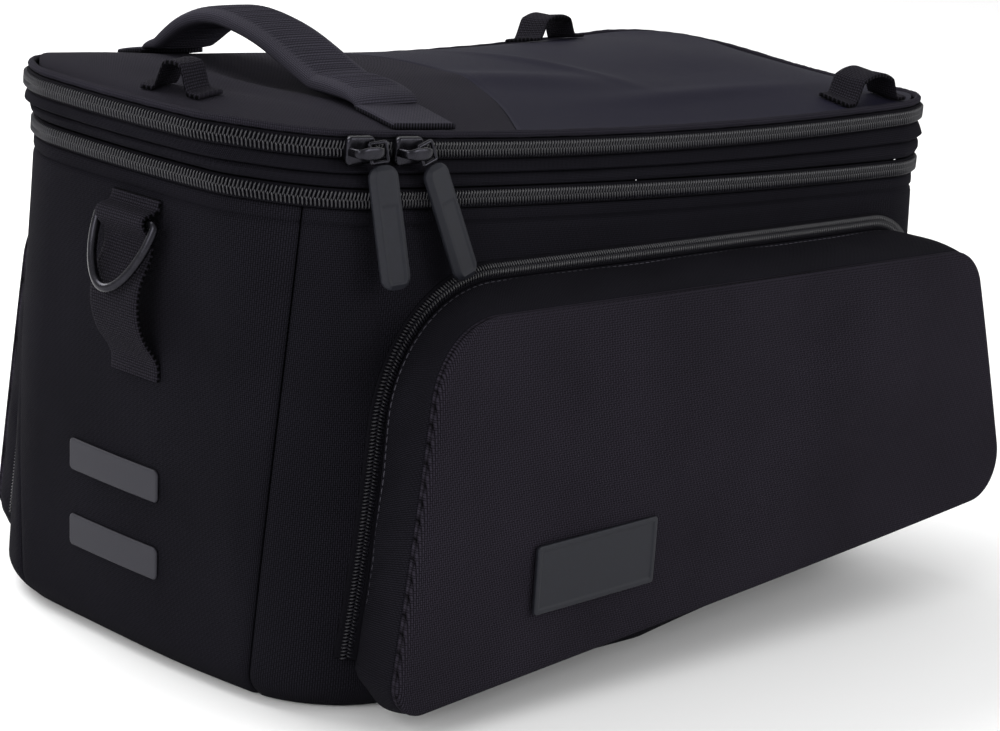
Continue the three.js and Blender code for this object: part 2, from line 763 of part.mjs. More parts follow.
function pullTab() {
  const { width, length, thickness } = pull;
  const top = -link.drop - clearance;
  const outline = new THREE.Shape(roundedPolygon([
    { x: -width / 2, z: top - length, radius: width * 0.42 },
    { x: width / 2, z: top - length, radius: width * 0.42 },
    { x: width / 2, z: top, radius: 1.6 },
    { x: -width / 2, z: top, radius: 1.6 },
  ], 4));
  const geometry = new THREE.ExtrudeGeometry(outline, { depth: thickness, bevelEnabled: false });
  return geometry.translate(0, 0, pull.proud - thickness / 2).rotateX(Math.PI / 2);
}

// Pockets

const cornerSteps = 5;
const edgeSteps = 8;
const pocketMouth = (pocket) => roundedPolygon(pocket.mouth, cornerSteps, edgeSteps);
const pocketOutline = (pocket) => roundedPolygon(pocket.face, cornerSteps, edgeSteps);

// Distance of a pocket's front face from the middle plane of the bag
function faceReach(pocket, x, z) {
  const low = Math.min(...pocket.face.map((corner) => corner.z));
  const high = Math.max(...pocket.face.map((corner) => corner.z));
  const half = Math.max(...pocket.face.map((corner) => Math.abs(corner.x)));
  const up = (z - low) / (high - low);
  const crown = pocketCrown * (1 - (x / half) ** 2) * (1 - (2 * up - 1) ** 2);
  return lerp(pocket.reachLow, pocket.reachHigh, up) + Math.max(0, crown);
}

function pocketFace(pocket) {
  const { side } = pocket;
  const place = (x, z, depth) => new THREE.Vector3(x, side * (faceReach(pocket, x, z) + depth), z);
  return plate(pocketOutline(pocket), place, pocketFaceThickness, [1, 0.86, 0.6, 0.3], side > 0);
}

function pocketGusset(pocket) {
  const { side } = pocket;
  const mouth = pocketMouth(pocket);
  const face = pocketOutline(pocket);
  const mouthOut = outlineNormals(mouth);
  const faceOut = outlineNormals(face);
  const swellRows = [
    { share: 0, out: 0 },
    { share: 0.35, out: 2 },
    { share: 0.7, out: 1.6 },
    { share: 1, out: 0 },
  ];
  const grid = (lift) => mouth.map((m, i) => swellRows.map(({ share, out }) => {
    const f = face[i];
    const outward = mouthOut[i].clone().lerp(faceOut[i], share).normalize();
    const p = m.clone().lerp(f, share).addScaledVector(outward, out + lift);
    const start = sideReach(p.x, p.y, side) + pocketSeat;
    const end = faceReach(pocket, p.x, p.y) - pocketFaceThickness - clearance;
    return new THREE.Vector3(p.x, side * lerp(start, end, share), p.y);
  }));
  return sheet(grid(0), grid(-pocketGussetThickness), true, side > 0);
}

// The pocket's zip runs up the rear edge of the mouth, over its top and down the front edge
function pocketZipBand(pocket) {
  const { side } = pocket;
  const { width, thickness } = pocketZip;
  const mouth = pocketMouth(pocket);
  const normals = outlineNormals(mouth);
  const perCorner = cornerSteps + edgeSteps;
  const path = [];
  for (let i = perCorner + cornerSteps; i <= mouth.length; i++) {
    path.push({ at: mouth[i % mouth.length], out: normals[i % mouth.length] });
  }
  const inner = softClearance;
  const section = [
    [inner, 0],
    [inner + width, 0],
    [inner + width, thickness * 0.4],
    [inner + width * 0.66, thickness],
    [inner + width * 0.34, thickness],
    [inner, thickness * 0.4],
  ];
  const sections = path.map(({ at, out }) => section.map(([across, up]) => {
    const p = at.clone().addScaledVector(out, across);
    return new THREE.Vector3(p.x, side * (sideReach(p.x, p.y, side) + softClearance + up), p.y);
  }));
  return bar(sections, false, side > 0);
}

function pocketLabel() {
  const outline = roundedRectangle(label.x, label.z, label.width, label.height, label.corner, 3, label.slope);
  const place = (x, z, depth) =>
    new THREE.Vector3(x, -(faceReach(nearPocket, x, z) + softClearance + label.thickness + depth), z);
  return plate(outline, place, label.thickness, [1, 0.6, 0.3]);
}

// Materials

const finish = (color, roughness, metalness = 0) => new THREE.MeshStandardMaterial({ color, roughness, metalness });
const cloth = finish(0x1f1e23, 0.85);
const ribbed = finish(0x2b2930, 0.75);
const smooth = finish(0x27262f, 0.6);
const webbing = finish(0x1d1c20, 0.8);
const coil = finish(0x26252a, 0.5);
const metal = finish(0x2c2c30, 0.35, 0.8);
const rubber = finish(0x34353c, 0.55);
const reflective = finish(0x4a4a50, 0.5);

// Assembly

const bag = new THREE.Group();

function add(name, geometry, material) {
  const mesh = new THREE.Mesh(geometry, material);
  mesh.name = name;
  bag.add(mesh);
  return mesh;
}

// The long walls wrap round the corners to their seams with the ends
const endFrom = stretch.side;
const endTo = 0.5;
add('base_panel', basePanel(), cloth);
add('near_side_panel', wallPanel(0, stretch.side, 1, 14), cloth);
add('front_end_panel', wallPanel(endFrom, endTo, -1, 9), cloth);
add('far_side_panel', wallPanel(0.5, 0.5 + stretch.side, 1, 14), cloth);
add('rear_end_panel', wallPanel(0.5 + endFrom, 0.5 + endTo, -1, 9), cloth);

const lowerBand = rimBand(lowerRim, lowerHeight, zipSection(lowerZip));
add('expansion_zip', lowerBand.geometry, coil);
add('expansion_gusset', expansionGusset(lowerBand.round), cloth);
add('lid_zip', rimBand(upperRim, upperHeight, zipSection(upperZip)).geometry, coil);
const weltSection = shares(0, 1, 6).slice(0, 6).map((k) => {
  const angle = k * 2 * Math.PI;
  return [weltCentre + weltRadius * Math.cos(angle), weltRise + weltRadius * Math.sin(angle)];
});
add('lid_welt', rimBand(upperRim, upperHeight, weltSection).geometry, ribbed);

const lidRear = () => -lidPlan.halfLength;
const lidFront = () => lidPlan.halfLength;
add('lid_ribbed_panel', lidPanel(lidRear, (across) => seamAt(across) - clearance, easeIn(10)), ribbed);
add('lid_smooth_panel', lidPanel((across) => seamAt(across) + clearance, lidFront, easeOut(12)), smooth);

add('handle_grip', handleGrip(), webbing);
const lidEdge = lidPlan.halfWidth - tabEdge;
add('near_handle_tab', handleTab(-lidEdge, handle.nearEnd - clearance), webbing);
add('far_handle_tab', handleTab(handle.farEnd + clearance, lidEdge), webbing);
for (const loop of lidLoops) add(loop.name, lidLoop(loop), webbing);

add('light_loop', lightLoopStrap(), webbing);
const ring = add('d_ring', dRingShape(), metal);
ring.position.copy(endPoint(lightLoop.y, ringPivotZ, dRing.pivotOut));
ring.rotation.y = degToRad(dRing.lean);
add('upper_reflector', reflectorBar(reflector.upper), reflective);
add('lower_reflector', reflectorBar(reflector.lower), reflective);

// Two sliders meet near the rear corner of the near side; way is the share of the way round, turned is the
// sideways turn of the pull, swing its slant across the side
const sliders = [
  { name: 'rear', way: stretch.side * 0.004, turned: -14, swing: 7 },
  { name: 'front', way: stretch.side * 0.078, turned: 0, swing: 19 },
];
for (const { name, way, turned, swing } of sliders) {
  const normal = planNormal(upperRim, way);
  const yaw = Math.atan2(normal.x, -normal.y);
  const seat = upperZip.thickness * 0.6 + clearance;
  const middle = planPoint(upperRim, way);
  const at = ringPoint(upperRim, way, seat, upperHeight(middle.x, middle.y));
  const carrier = new THREE.Group();
  carrier.position.copy(at);
  carrier.rotation.z = yaw;
  const body = new THREE.Mesh(sliderBody(), metal);
  body.name = `${name}_slider`;
  carrier.add(body);
  const hung = new THREE.Group();
  hung.position.set(slider.length / 2 - slider.bar / 2, -slider.plate - slider.opening / 2, 0);
  hung.rotation.set(-degToRad(pull.lean), degToRad(-swing), degToRad(turned), 'ZXY');
  const frame = new THREE.Mesh(pullLink(), metal);
  frame.name = `${name}_pull_link`;
  const tab = new THREE.Mesh(pullTab(), rubber);
  tab.name = `${name}_pull_tab`;
  hung.add(frame, tab);
  carrier.add(hung);
  bag.add(carrier);
}

for (const [name, pocket] of [['near', nearPocket], ['far', farPocket]]) {
  add(`${name}_pocket_gusset`, pocketGusset(pocket), cloth);
  add(`${name}_pocket_face`, pocketFace(pocket), cloth);
  add(`${name}_pocket_zip`, pocketZipBand(pocket), coil);
}
add('pocket_label', pocketLabel(), rubber);

export default bag;
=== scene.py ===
import bpy
import numpy as np
from mathutils import Matrix, Vector


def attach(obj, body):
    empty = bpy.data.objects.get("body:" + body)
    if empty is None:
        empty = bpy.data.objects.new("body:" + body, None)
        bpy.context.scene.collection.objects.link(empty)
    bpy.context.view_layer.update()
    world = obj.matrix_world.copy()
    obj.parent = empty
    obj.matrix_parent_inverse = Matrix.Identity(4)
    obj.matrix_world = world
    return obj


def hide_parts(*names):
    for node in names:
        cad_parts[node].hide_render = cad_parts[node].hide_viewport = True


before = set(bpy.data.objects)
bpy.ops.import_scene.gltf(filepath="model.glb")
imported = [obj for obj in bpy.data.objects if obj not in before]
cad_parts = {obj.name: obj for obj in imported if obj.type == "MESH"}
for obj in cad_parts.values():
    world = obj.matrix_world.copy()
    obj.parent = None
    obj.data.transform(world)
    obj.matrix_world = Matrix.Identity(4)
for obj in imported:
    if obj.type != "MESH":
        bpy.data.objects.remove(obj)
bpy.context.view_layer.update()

# The studio: a white floor under a white sky, a broad lamp high on the left that skims over the lid, and a
# weaker one on the right for the long side. The camera stands at the photograph's place.
MM = 0.001
yaw, pitch, roll = 0.8093, 0.2463, -0.0906
station = np.array([-861.0, -835.5, 386.4])
forward = np.array([np.sin(yaw) * np.cos(pitch), np.cos(yaw) * np.cos(pitch), -np.sin(pitch)])
level_right = np.array([np.cos(yaw), -np.sin(yaw), 0.0])
level_down = np.cross(forward, level_right)
camera_right = np.cos(roll) * level_right + np.sin(roll) * level_down
camera_up = np.sin(roll) * level_right - np.cos(roll) * level_down
turned = np.eye(4)
turned[:3, :3] = np.stack([camera_right, camera_up, -forward], axis=1)
turned[:3, 3] = station * MM
camera = bpy.data.objects.new("camera", bpy.data.cameras.new("camera"))
camera.data.sensor_width = 36.0
camera.data.lens = 3107.2 / 1000 * 36.0
camera.data.clip_start, camera.data.clip_end = 0.05, 50.0
camera.matrix_world = Matrix(turned.tolist())
bpy.context.scene.collection.objects.link(camera)
bpy.context.scene.camera = camera

bpy.context.scene.view_settings.view_transform = "Standard"
sky = bpy.data.worlds.new("sky")
sky.use_nodes = True
sky.node_tree.nodes["Background"].inputs["Color"].default_value = (1.0, 1.0, 1.0, 1.0)
sky.node_tree.nodes["Background"].inputs["Strength"].default_value = 0.75
bpy.context.scene.world = sky

for lamp_name, place, width, power in (
    ("lid_lamp", (-0.3, 1.5, 1.5), 1.4, 42.0),
    ("end_lamp", (-2.2, -0.5, 1.1), 1.2, 26.0),
    ("side_lamp", (1.3, -2.4, 1.3), 1.4, 34.0),
):
    lamp = bpy.data.objects.new(lamp_name, bpy.data.lights.new(lamp_name, "AREA"))
    lamp.data.size = width
    lamp.data.energy = power
    lamp.location = place
    lamp.rotation_euler = (Vector((0.0, 0.0, 0.1)) - lamp.location).to_track_quat("-Z", "Y").to_euler()
    bpy.context.scene.collection.objects.link(lamp)

floor_mesh = bpy.data.meshes.new("floor")
floor_mesh.from_pydata([(-8, -8, -0.0004), (8, -8, -0.0004), (8, 8, -0.0004), (-8, 8, -0.0004)], [], [(0, 1, 2, 3)])
floor = bpy.data.objects.new("floor", floor_mesh)
bpy.context.scene.collection.objects.link(floor)
paint = bpy.data.materials.new("floor_paint")
paint.use_nodes = True
paint.node_tree.nodes["Principled BSDF"].inputs["Base Color"].default_value = (0.93, 0.93, 0.93, 1.0)
paint.node_tree.nodes["Principled BSDF"].inputs["Roughness"].default_value = 0.9
floor_mesh.materials.append(paint)


# The body's four walls: foam between two layers of black twill, cut to lean in towards the top, and sewn
# together down the middle of each corner so that the seams sink between the soft edges.
SIDE, CORNER, END = 0.18, 0.09, 0.14
foot = np.array([169.0, 106.0, 39.0, 55.0])
lower = np.array([181.0, 85.5, 36.0, 52.0])
upper = np.array([188.0, 80.5, 36.0, 50.0])


def swell(x, y, level):
    """A level's outline bulges: the ends by 8 mm and the sides by 2 mm, a fourth power along times a parabola across."""
    along, across = x / level[..., 0], y / level[..., 1]
    return np.stack([
        x + 8.0 * along * np.abs(along) ** 3 * (1 - across**2),
        y + 2.0 * across * np.abs(across) ** 3 * (1 - along**2),
    ], axis=-1)


def plan(level, s):
    """Outline of a level (half length, half width, near corners, far corners) at share s of the way round:
    straight runs and quarter turns laid end to end, the second half being the first turned by half a turn, with
    its corners swapped."""
    length, width = level[..., 0], level[..., 1]
    half, is_far = s % 0.5, s % 1.0 >= 0.5
    corner = np.where(is_far, level[..., 3], level[..., 2])
    next_corner = np.where(is_far, level[..., 2], level[..., 3])
    runs = ((0.0, SIDE), (SIDE, CORNER), (SIDE + CORNER, END), (0.5 - CORNER, CORNER))
    side, first, end, second = (np.clip((half - start) / run, 0, 1) for start, run in runs)
    first, second = first * np.pi / 2, second * np.pi / 2
    x = (length - corner) * (2 * side - 1) + corner * np.sin(first) - next_corner * (1 - np.cos(second))
    y = -width + corner * (1 - np.cos(first)) + next_corner * np.sin(second) + (2 * width - corner - next_corner) * end
    turn = np.where(is_far, -1.0, 1.0)
    return swell(turn * x, turn * y, level)


def plan_normal(level, s):
    """Outward direction: the outline's own direction, turned by a quarter."""
    along = plan(level, s + 1e-4) - plan(level, s - 1e-4)
    along /= np.linalg.norm(along, axis=-1, keepdims=True)
    return np.stack([along[..., 1], -along[..., 0]], axis=-1)


def round_point(level, s, out, z):
    """A point at height z, out mm outside a level's outline."""
    flat = plan(level, s) + plan_normal(level, s) * np.asarray(out)[..., None]
    return np.concatenate([flat, np.broadcast_to(z, flat.shape[:-1])[..., None]], axis=-1)


def rim_height(height, level, droop, sag, front_sag, flat):
    """A rim's height over a flat point: it falls by droop towards the front and dips by sag halfway along, both
    mixed from the near side's value to the far side's, and the front end dips by front_sag at its middle."""
    along = np.clip(flat[..., 0] / level[0], -1, 1)
    far = np.clip((1 + flat[..., 1] / level[1]) / 2, 0, 1)
    fall = droop[0] + (droop[1] - droop[0]) * far
    dip = sag[0] + (sag[1] - sag[0]) * far
    front = front_sag * np.maximum(0, along) ** 4 * far * (1 - far) * 4
    return height - fall * (1 + along) / 2 - dip * (1 - along**2) - front


def lower_height(flat):
    return rim_height(182.0, lower, (12, 4), (3, 3), 3, flat)


def upper_height(flat):
    return rim_height(200.0, upper, (9, 3), (6, 9), 6, flat)


def tuck_at(x, share):
    """How much of the near half width is left: towards the front it is tucked in by up to 36 per cent at the
    foot, on a parabola that ends at 24 per cent of the height."""
    return 1 - 0.36 * np.clip(x / foot[0], 0, 1) * (1 - np.minimum(1, share / 0.24)) ** 2


def wall(s, share, lift):
    """A point of the wall: its level mixes from foot to rim with the share of the height, and the lowest
    6 per cent roll in by 8 mm on a parabola."""
    level = foot + (lower - foot) * share[..., None]
    roll_in = 8.0 * (1 - np.minimum(1, share / 0.06)) ** 2
    points = round_point(level, s, lift - roll_in, share * lower_height(plan(lower, s)))
    points[..., 1] *= np.where(points[..., 1] < 0, tuck_at(points[..., 0], share), 1.0)
    return points


def edge(distance, radius):
    """0 at an edge and 1 beyond radius, along a quarter circle."""
    return np.sqrt(1 - (1 - np.clip(distance / radius, 0, 1)) ** 2)


def eased(count):
    """Shares from 0 to 1 that crowd towards both ends, by half a cosine wave."""
    return (1 - np.cos(np.pi * np.linspace(0, 1, count))) / 2


def walked(grid, wrap=False):
    """Where each point of a grid lay in the flat cloth: the mean length walked along each way, in mm."""
    rows = np.concatenate([grid, grid[:1]]) if wrap else grid
    along = np.linalg.norm(np.diff(rows, axis=0), axis=2).mean(axis=1)
    across = np.linalg.norm(np.diff(grid, axis=1), axis=2).mean(axis=0)
    u, v = np.append(0, np.cumsum(along)), np.append(0, np.cumsum(across))
    return np.stack(np.meshgrid(u, v, indexing="ij"), axis=-1)


def build(name, points, faces, cuts, body, finish):
    """A piece from points in mm and face arrays of equal corner counts; cuts holds each corner's place in the
    flat cloth. Where the signed volume is below zero, every face is turned round."""
    volume = sum(
        np.einsum("nc,nc->", points[f[:, 0]], np.cross(points[f[:, k]], points[f[:, k + 1]]))
        for f in faces for k in range(1, f.shape[1] - 1)
    )
    if volume < 0:
        faces = [f[:, ::-1] for f in faces]
        cuts = [c[:, ::-1] for c in cuts]
    corners = np.concatenate([f.ravel() for f in faces])
    totals = np.concatenate([np.full(len(f), f.shape[1]) for f in faces])
    mesh = bpy.data.meshes.new(name)
    mesh.vertices.add(len(points))
    mesh.vertices.foreach_set("co", (points * MM).astype(np.float32).ravel())
    mesh.loops.add(len(corners))
    mesh.loops.foreach_set("vertex_index", corners.astype(np.int32))
    mesh.polygons.add(len(totals))
    mesh.polygons.foreach_set("loop_start", np.append(0, np.cumsum(totals)[:-1]).astype(np.int32))
    mesh.polygons.foreach_set("loop_total", totals.astype(np.int32))
    mesh.polygons.foreach_set("use_smooth", np.ones(len(totals), dtype=bool))
    flat = mesh.uv_layers.new(name="cut")
    flat.data.foreach_set("uv", np.concatenate([c.reshape(-1, 2) for c in cuts]).astype(np.float32).ravel())
    mesh.update(calc_edges=True)
    mesh.validate()
    mesh.materials.append(finish)
    piece = bpy.data.objects.new(name, mesh)
    bpy.context.scene.collection.objects.link(piece)
    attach(piece, body)
    return piece


def grid_faces(rows, columns, wrap_rows, wrap_columns):
    """Quads of a grid, with each corner's row and column before wrapping."""
    i, j = np.meshgrid(
        np.arange(rows if wrap_rows else rows - 1), np.arange(columns if wrap_columns else columns - 1), indexing="ij")
    i, j = i.ravel(), j.ravel()
    across = np.stack([i, i + 1, i + 1, i], axis=1)
    down = np.stack([j, j, j + 1, j + 1], axis=1)
    return (across % rows) * columns + down % columns, across, down


def shell(name, outer, inner, body, finish, wrap=False):
    """A sheet with thickness: two matching grids joined round their edges; wrap closes the first way round."""
    rows, columns = outer.shape[:2]
    points = np.concatenate([outer.reshape(-1, 3), inner.reshape(-1, 3)])
    face, i, j = grid_faces(rows, columns, wrap, False)
    cut = walked(outer, wrap)
    if not wrap:
        cut = cut[:rows]
    place = cut[i, j]
    faces, cuts = [face, face[:, ::-1] + rows * columns], [place, place[:, ::-1]]
    across = i[:, 0] * 0
    rims = [(i[j[:, 0] == 0], 0), (i[j[:, 0] == 0], columns - 1)]
    for ways, column in rims:
        a, b = ways[:, 0], ways[:, 1]
        first, second = (a % rows) * columns + column, (b % rows) * columns + column
        rim = np.stack([first, second, second + rows * columns, first + rows * columns], axis=1)
        spot = np.stack([cut[a, column], cut[b, column], cut[b, column], cut[a, column]], axis=1)
        if column == 0:
            rim, spot = rim[:, ::-1], spot[:, ::-1]
        faces.append(rim)
        cuts.append(spot)
    if not wrap:
        steps = np.arange(columns - 1)
        for row in (0, rows - 1):
            first, second = row * columns + steps, row * columns + steps + 1
            rim = np.stack([first, second, second + rows * columns, first + rows * columns], axis=1)
            spot = np.stack([cut[row, steps], cut[row, steps + 1], cut[row, steps + 1], cut[row, steps]], axis=1)
            if row:
                rim, spot = rim[:, ::-1], spot[:, ::-1]
            faces.append(rim)
            cuts.append(spot)
    return build(name, points, faces, cuts, body, finish)


class Signal:
    """One socket of a material. Arithmetic on it adds Math nodes, with numbers on either side."""

    def __init__(self, maker, socket):
        self.maker, self.socket = maker, socket

    def math(self, operation, *values):
        return self.maker.node("ShaderNodeMath", {"operation": operation}, dict(enumerate(values)))

    def __add__(self, other):
        return self.math("ADD", self, other)

    def __sub__(self, other):
        return self.math("SUBTRACT", self, other)

    def __rsub__(self, other):
        return self.math("SUBTRACT", other, self)

    def __mul__(self, other):
        return self.math("MULTIPLY", self, other)

    def __truediv__(self, other):
        return self.math("DIVIDE", self, other)

    def __gt__(self, other):
        return self.math("GREATER_THAN", self, other)

    def __lt__(self, other):
        return self.math("LESS_THAN", self, other)

    __radd__ = __add__
    __rmul__ = __mul__

    def to(self, operation, *values):
        """Any other Math operation on this socket, such as FLOOR or SINE."""
        return self.math(operation, self, *values)


class Maker:
    """A material being made. fixed holds the shader's values that are the same all over."""

    def __init__(self, name, **fixed):
        self.material = bpy.data.materials.new(name)
        self.material.use_nodes = True
        self.tree = self.material.node_tree
        self.shader = self.tree.nodes["Principled BSDF"]
        for socket, value in fixed.items():
            self.shader.inputs[socket.replace("_", " ")].default_value = value

    def node(self, kind, settings, sockets, out=0):
        """Any node: its type, its settings, its sockets' values or links, and which output to hand back."""
        made = self.tree.nodes.new(kind)
        for name, value in settings.items():
            setattr(made, name, value)
        for socket, value in sockets.items():
            self.plug(made.inputs[socket], value)
        return Signal(self, made.outputs[out])

    def plug(self, socket, value):
        if isinstance(value, Signal):
            self.tree.links.new(value.socket, socket)
        else:
            socket.default_value = value

    def feed(self, **sockets):
        """Links what varies over the surface into the shader."""
        for socket, value in sockets.items():
            self.plug(self.shader.inputs[socket.replace("_", " ")], value)

    def cut(self):
        """The two ways along the flat cloth, in mm."""
        where = self.node("ShaderNodeUVMap", {"uv_map": "cut"}, {})
        split = self.node("ShaderNodeSeparateXYZ", {}, {0: where})
        return split, Signal(self, split.socket.node.outputs[1])

    def noise(self, scale, detail=3.0, where=None):
        """Cloudy noise from 0 to 1; scale counts its patches per metre on the object, or per mm in the cloth."""
        where = where or Signal(self, self.tree.nodes.new("ShaderNodeTexCoord").outputs["Object"])
        return self.node("ShaderNodeTexNoise", {}, {"Vector": where, "Scale": scale, "Detail": detail}, 0)

    def mix(self, share, first, second):
        """A colour between two, by share."""
        made = self.tree.nodes.new("ShaderNodeMix")
        made.data_type = "RGBA"
        for socket, value in ((made.inputs[0], share), (made.inputs[6], first), (made.inputs[7], second)):
            self.plug(socket, value)
        return Signal(self, made.outputs[2])

    def bump(self, height, depth):
        """Relief of depth mm where the height goes from 0 to 1."""
        relief = self.node("ShaderNodeBump", {}, {"Strength": 1.0, "Distance": depth * MM, "Height": height})
        self.feed(Normal=relief)


def shade(red, green, blue):
    """A colour as a screen shows it, 0 to 255, made linear."""
    value = np.array([red, green, blue]) / 255
    linear = np.where(value <= 0.04045, value / 12.92, ((value + 0.055) / 1.055) ** 2.4)
    return (*linear.tolist(), 1.0)


def woven(name, dark, light, yarn, float_over, relief, roughness, sheen, specular=0.2):
    """Woven cloth: warp and weft yarns as rows of rounded humps, and the pattern of which one lies on top
    steps sideways by one yarn a row, so a float over more than one yarn gives a twill's diagonal."""
    maker = Maker(name, Sheen_Weight=sheen, Sheen_Roughness=0.5, Specular_IOR_Level=specular)
    u, v = maker.cut()
    warp, weft = u / yarn, v / yarn
    step = (warp.to("FLOOR") - weft.to("FLOOR")) / (float_over + 1.0)
    on_top = step.to("FRACT") < 0.999 * float_over / (float_over + 1.0)
    across_warp = (warp.to("FRACT") * 2.0 - 1.0).to("POWER", 2.0)
    across_weft = (weft.to("FRACT") * 2.0 - 1.0).to("POWER", 2.0)
    warp_height = (1.0 - across_warp) * (1.0 - 0.35 * across_weft)
    weft_height = (1.0 - across_weft) * (1.0 - 0.35 * across_warp) * 0.8
    height = on_top * warp_height + (1.0 - on_top) * weft_height
    cloud = maker.noise(22.0)
    # Painted shade: the colour follows the yarns' height, going from the dark colour in the gaps between yarns to the
    # light one on their crests; the cloud adds random tone.
    painted_yarn_shade_tint = maker.mix(height * (0.7 + 0.6 * cloud), dark, light)
    maker.feed(Base_Color=painted_yarn_shade_tint, Roughness=roughness + 0.1 * cloud)
    maker.bump(height, relief)
    return maker.material


body_cloth = woven("body_twill", shade(1, 1, 1), shade(28, 27, 33), 0.75, 2.0, 0.2, 0.9, 0.0, 0.03)
ZIP_HALF = 3.5


def wall_panel(name, start, stop, outward, columns):
    """One wall: sunk by 1.8 mm at its seams, with a groove where the binding under the zip is sewn down. The
    seams run from 0.93 of the corner at the foot to 0.44 at the rim."""
    t, v = np.meshgrid(eased(columns), eased(90), indexing="ij")
    seam = outward * CORNER * (0.93 + (0.44 - 0.93) * v) - 0.0003
    s = start - seam + (stop - start + 2 * seam) * t
    top = lower_height(plan(lower, s))
    share = 0.3 / 182 + (1 - (ZIP_HALF + 0.3) / top - 0.3 / 182) * v
    to_seam = np.minimum(s - (start - seam), stop + seam - s) * 628
    to_top = (share.max(axis=1, keepdims=True) - share) * top
    waves = 0.5 * np.sin(s * 41 + share * 5) * np.sin(share * 7 + s * 13)
    lift = waves * edge(to_seam, 40) - 1.8 * (1 - edge(to_seam, 3.2))
    lift -= 1.2 * (1 - edge(to_top, 1.6)) + 1.4 * np.exp(-(((to_top - 5.5) / 0.8) ** 2))
    piece = shell(name, wall(s, share, lift), wall(s, share, lift * 0 - 4.0), "bag", body_cloth)
    dress(piece, "body_cloth", name.replace("_wall", "_panel"))


def dress(piece, slot, *nodes):
    """The piece stands for these CAD nodes, which it hides; slot is not used."""
    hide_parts(*nodes)


for name, start, stop, outward, columns in (
    ("near_side_wall", 0.0, SIDE, 1, 190),
    ("front_end_wall", SIDE, 0.5, -1, 120),
    ("far_side_wall", 0.5, 0.5 + SIDE, 1, 190),
    ("rear_end_wall", 0.5 + SIDE, 1.0, -1, 120),
):
    wall_panel(name, start, stop, outward, columns)


# The base: a stiff board in the same twill, whose edge rounds up into the walls' rolled foot.
def half_width_at(level, x, across):
    """Half width of a level's outline at x, near or far: the straight side, less what the corner's circle takes."""
    corner = np.where(across < 0, level[..., 2], level[..., 3])
    into = np.maximum(0, np.abs(x) - (level[..., 0] - corner))
    return level[..., 1] - corner + np.sqrt(np.maximum(0, corner**2 - into**2))


def across_level(level, x, across):
    """A flat point of a level at x, and at a share of its half width."""
    return swell(x, across * half_width_at(level, x, across), level)


board = foot - 13.0
x, across = np.meshgrid(board[0] * (2 * eased(120) - 1), 2 * eased(70) - 1, indexing="ij")
flat = across_level(board, x, across)
flat[..., 1] *= np.where(across < 0, tuck_at(flat[..., 0], 0.0), 1.0)
to_edge = np.minimum(board[0] - np.abs(x), (1 - np.abs(across)) * half_width_at(board, x, across))
under = np.concatenate([flat, (3.0 * (1 - edge(to_edge, 5.0)))[..., None]], axis=-1)
over = np.concatenate([flat, (4.0 - 0.6 * (1 - edge(to_edge, 2.0)))[..., None]], axis=-1)
base = shell("base_board", over, under, "bag", body_cloth)
dress(base, "body_cloth", "base_panel")


# The two coil zips right round the bag. Each has a woven tape sewn in by both edges, and two rows of slanting
# nylon teeth that meet along its middle.
def ring_steps(level, height, spacing):
    """Shares of the way round a rim at even spacing, and the rim's places there."""
    s = np.linspace(0, 1, 6001)
    flat = plan(level, s)
    line = np.concatenate([flat, height(flat)[:, None]], axis=1)
    length = np.append(0, np.cumsum(np.linalg.norm(np.diff(line, axis=0), axis=1)))
    count = int(round(length[-1] / spacing))
    even = np.interp(np.arange(count) * length[-1] / count, length, s)
    return even, height(plan(level, even))


def loft(name, rings, body, finish, wrap=False):
    """A bar through matching rings of points; wrap joins the last to the first, else each end is closed by a
    fan about its middle."""
    rows, columns = rings.shape[:2]
    points = rings.reshape(-1, 3)
    face, i, j = grid_faces(rows, columns, wrap, True)
    shut = np.concatenate([rings, rings[:, :1]], axis=1)
    cut = walked(shut, wrap)
    if not wrap:
        cut = cut[:rows]
    faces, cuts = [face], [cut[i, j]]
    if not wrap:
        steps = np.arange(columns)
        following = (steps + 1) % columns
        points = np.concatenate([points, rings[0].mean(axis=0)[None], rings[-1].mean(axis=0)[None]])
        first = np.stack([following, steps, steps * 0 + rows * columns], axis=1)
        last = np.stack([steps, following, steps * 0 + rows * columns + 1], axis=1)
        last[:, :2] += (rows - 1) * columns
        faces += [first, last]
        cuts += [np.zeros((columns, 3, 2)), np.zeros((columns, 3, 2))]
    return build(name, points, faces, cuts, body, finish)


def strew(name, shapes, faces, origins, axes, body, finish):
    """Copies of small shapes: a point is its copy's origin plus the copy's three axes times its coordinates."""
    points, all_faces, total = [], [], 0
    for shape, shape_faces in zip(shapes, faces):
        made = origins[:, None, :] + np.einsum("pk,nkc->npc", shape, axes)
        offset = total + np.arange(len(origins))[:, None, None] * len(shape)
        points.append(made.reshape(-1, 3))
        all_faces += [(f[None] + offset).reshape(-1, f.shape[1]) for f in shape_faces]
        total += made.shape[0] * made.shape[1]
    cuts = [np.zeros((*f.shape, 2)) for f in all_faces]
    return build(name, np.concatenate(points), all_faces, cuts, body, finish)


def small_bar(section, stations, skew):
    """A small closed bar: a section (along, out) scaled at each station (across, size) and slanted by skew."""
    rows, columns = len(stations), len(section)
    across, size = stations[:, 0], stations[:, 1]
    points = np.stack([
        size[:, None] * section[None, :, 0] + skew * across[:, None],
        size[:, None] * section[None, :, 1],
        np.broadcast_to(across[:, None], (rows, columns)),
    ], axis=-1).reshape(-1, 3)
    face, _, _ = grid_faces(rows, columns, False, True)
    steps = np.arange(1, columns - 1)
    start = np.stack([steps * 0, steps + 1, steps], axis=1)
    stop = np.stack([steps * 0, steps, steps + 1], axis=1) + (rows - 1) * columns
    return points, [face, start, stop]


tape_cloth = woven("zip_tape", shade(3, 3, 4), shade(20, 19, 24), 0.4, 1.0, 0.08, 0.9, 0.0, 0.04)
coil = Maker("coil_nylon", Specular_IOR_Level=0.45)
coil_cloud = coil.noise(900.0)
coil.feed(Base_Color=coil.mix(coil_cloud, shade(10, 10, 13), shade(34, 33, 40)), Roughness=0.26 + 0.12 * coil_cloud)


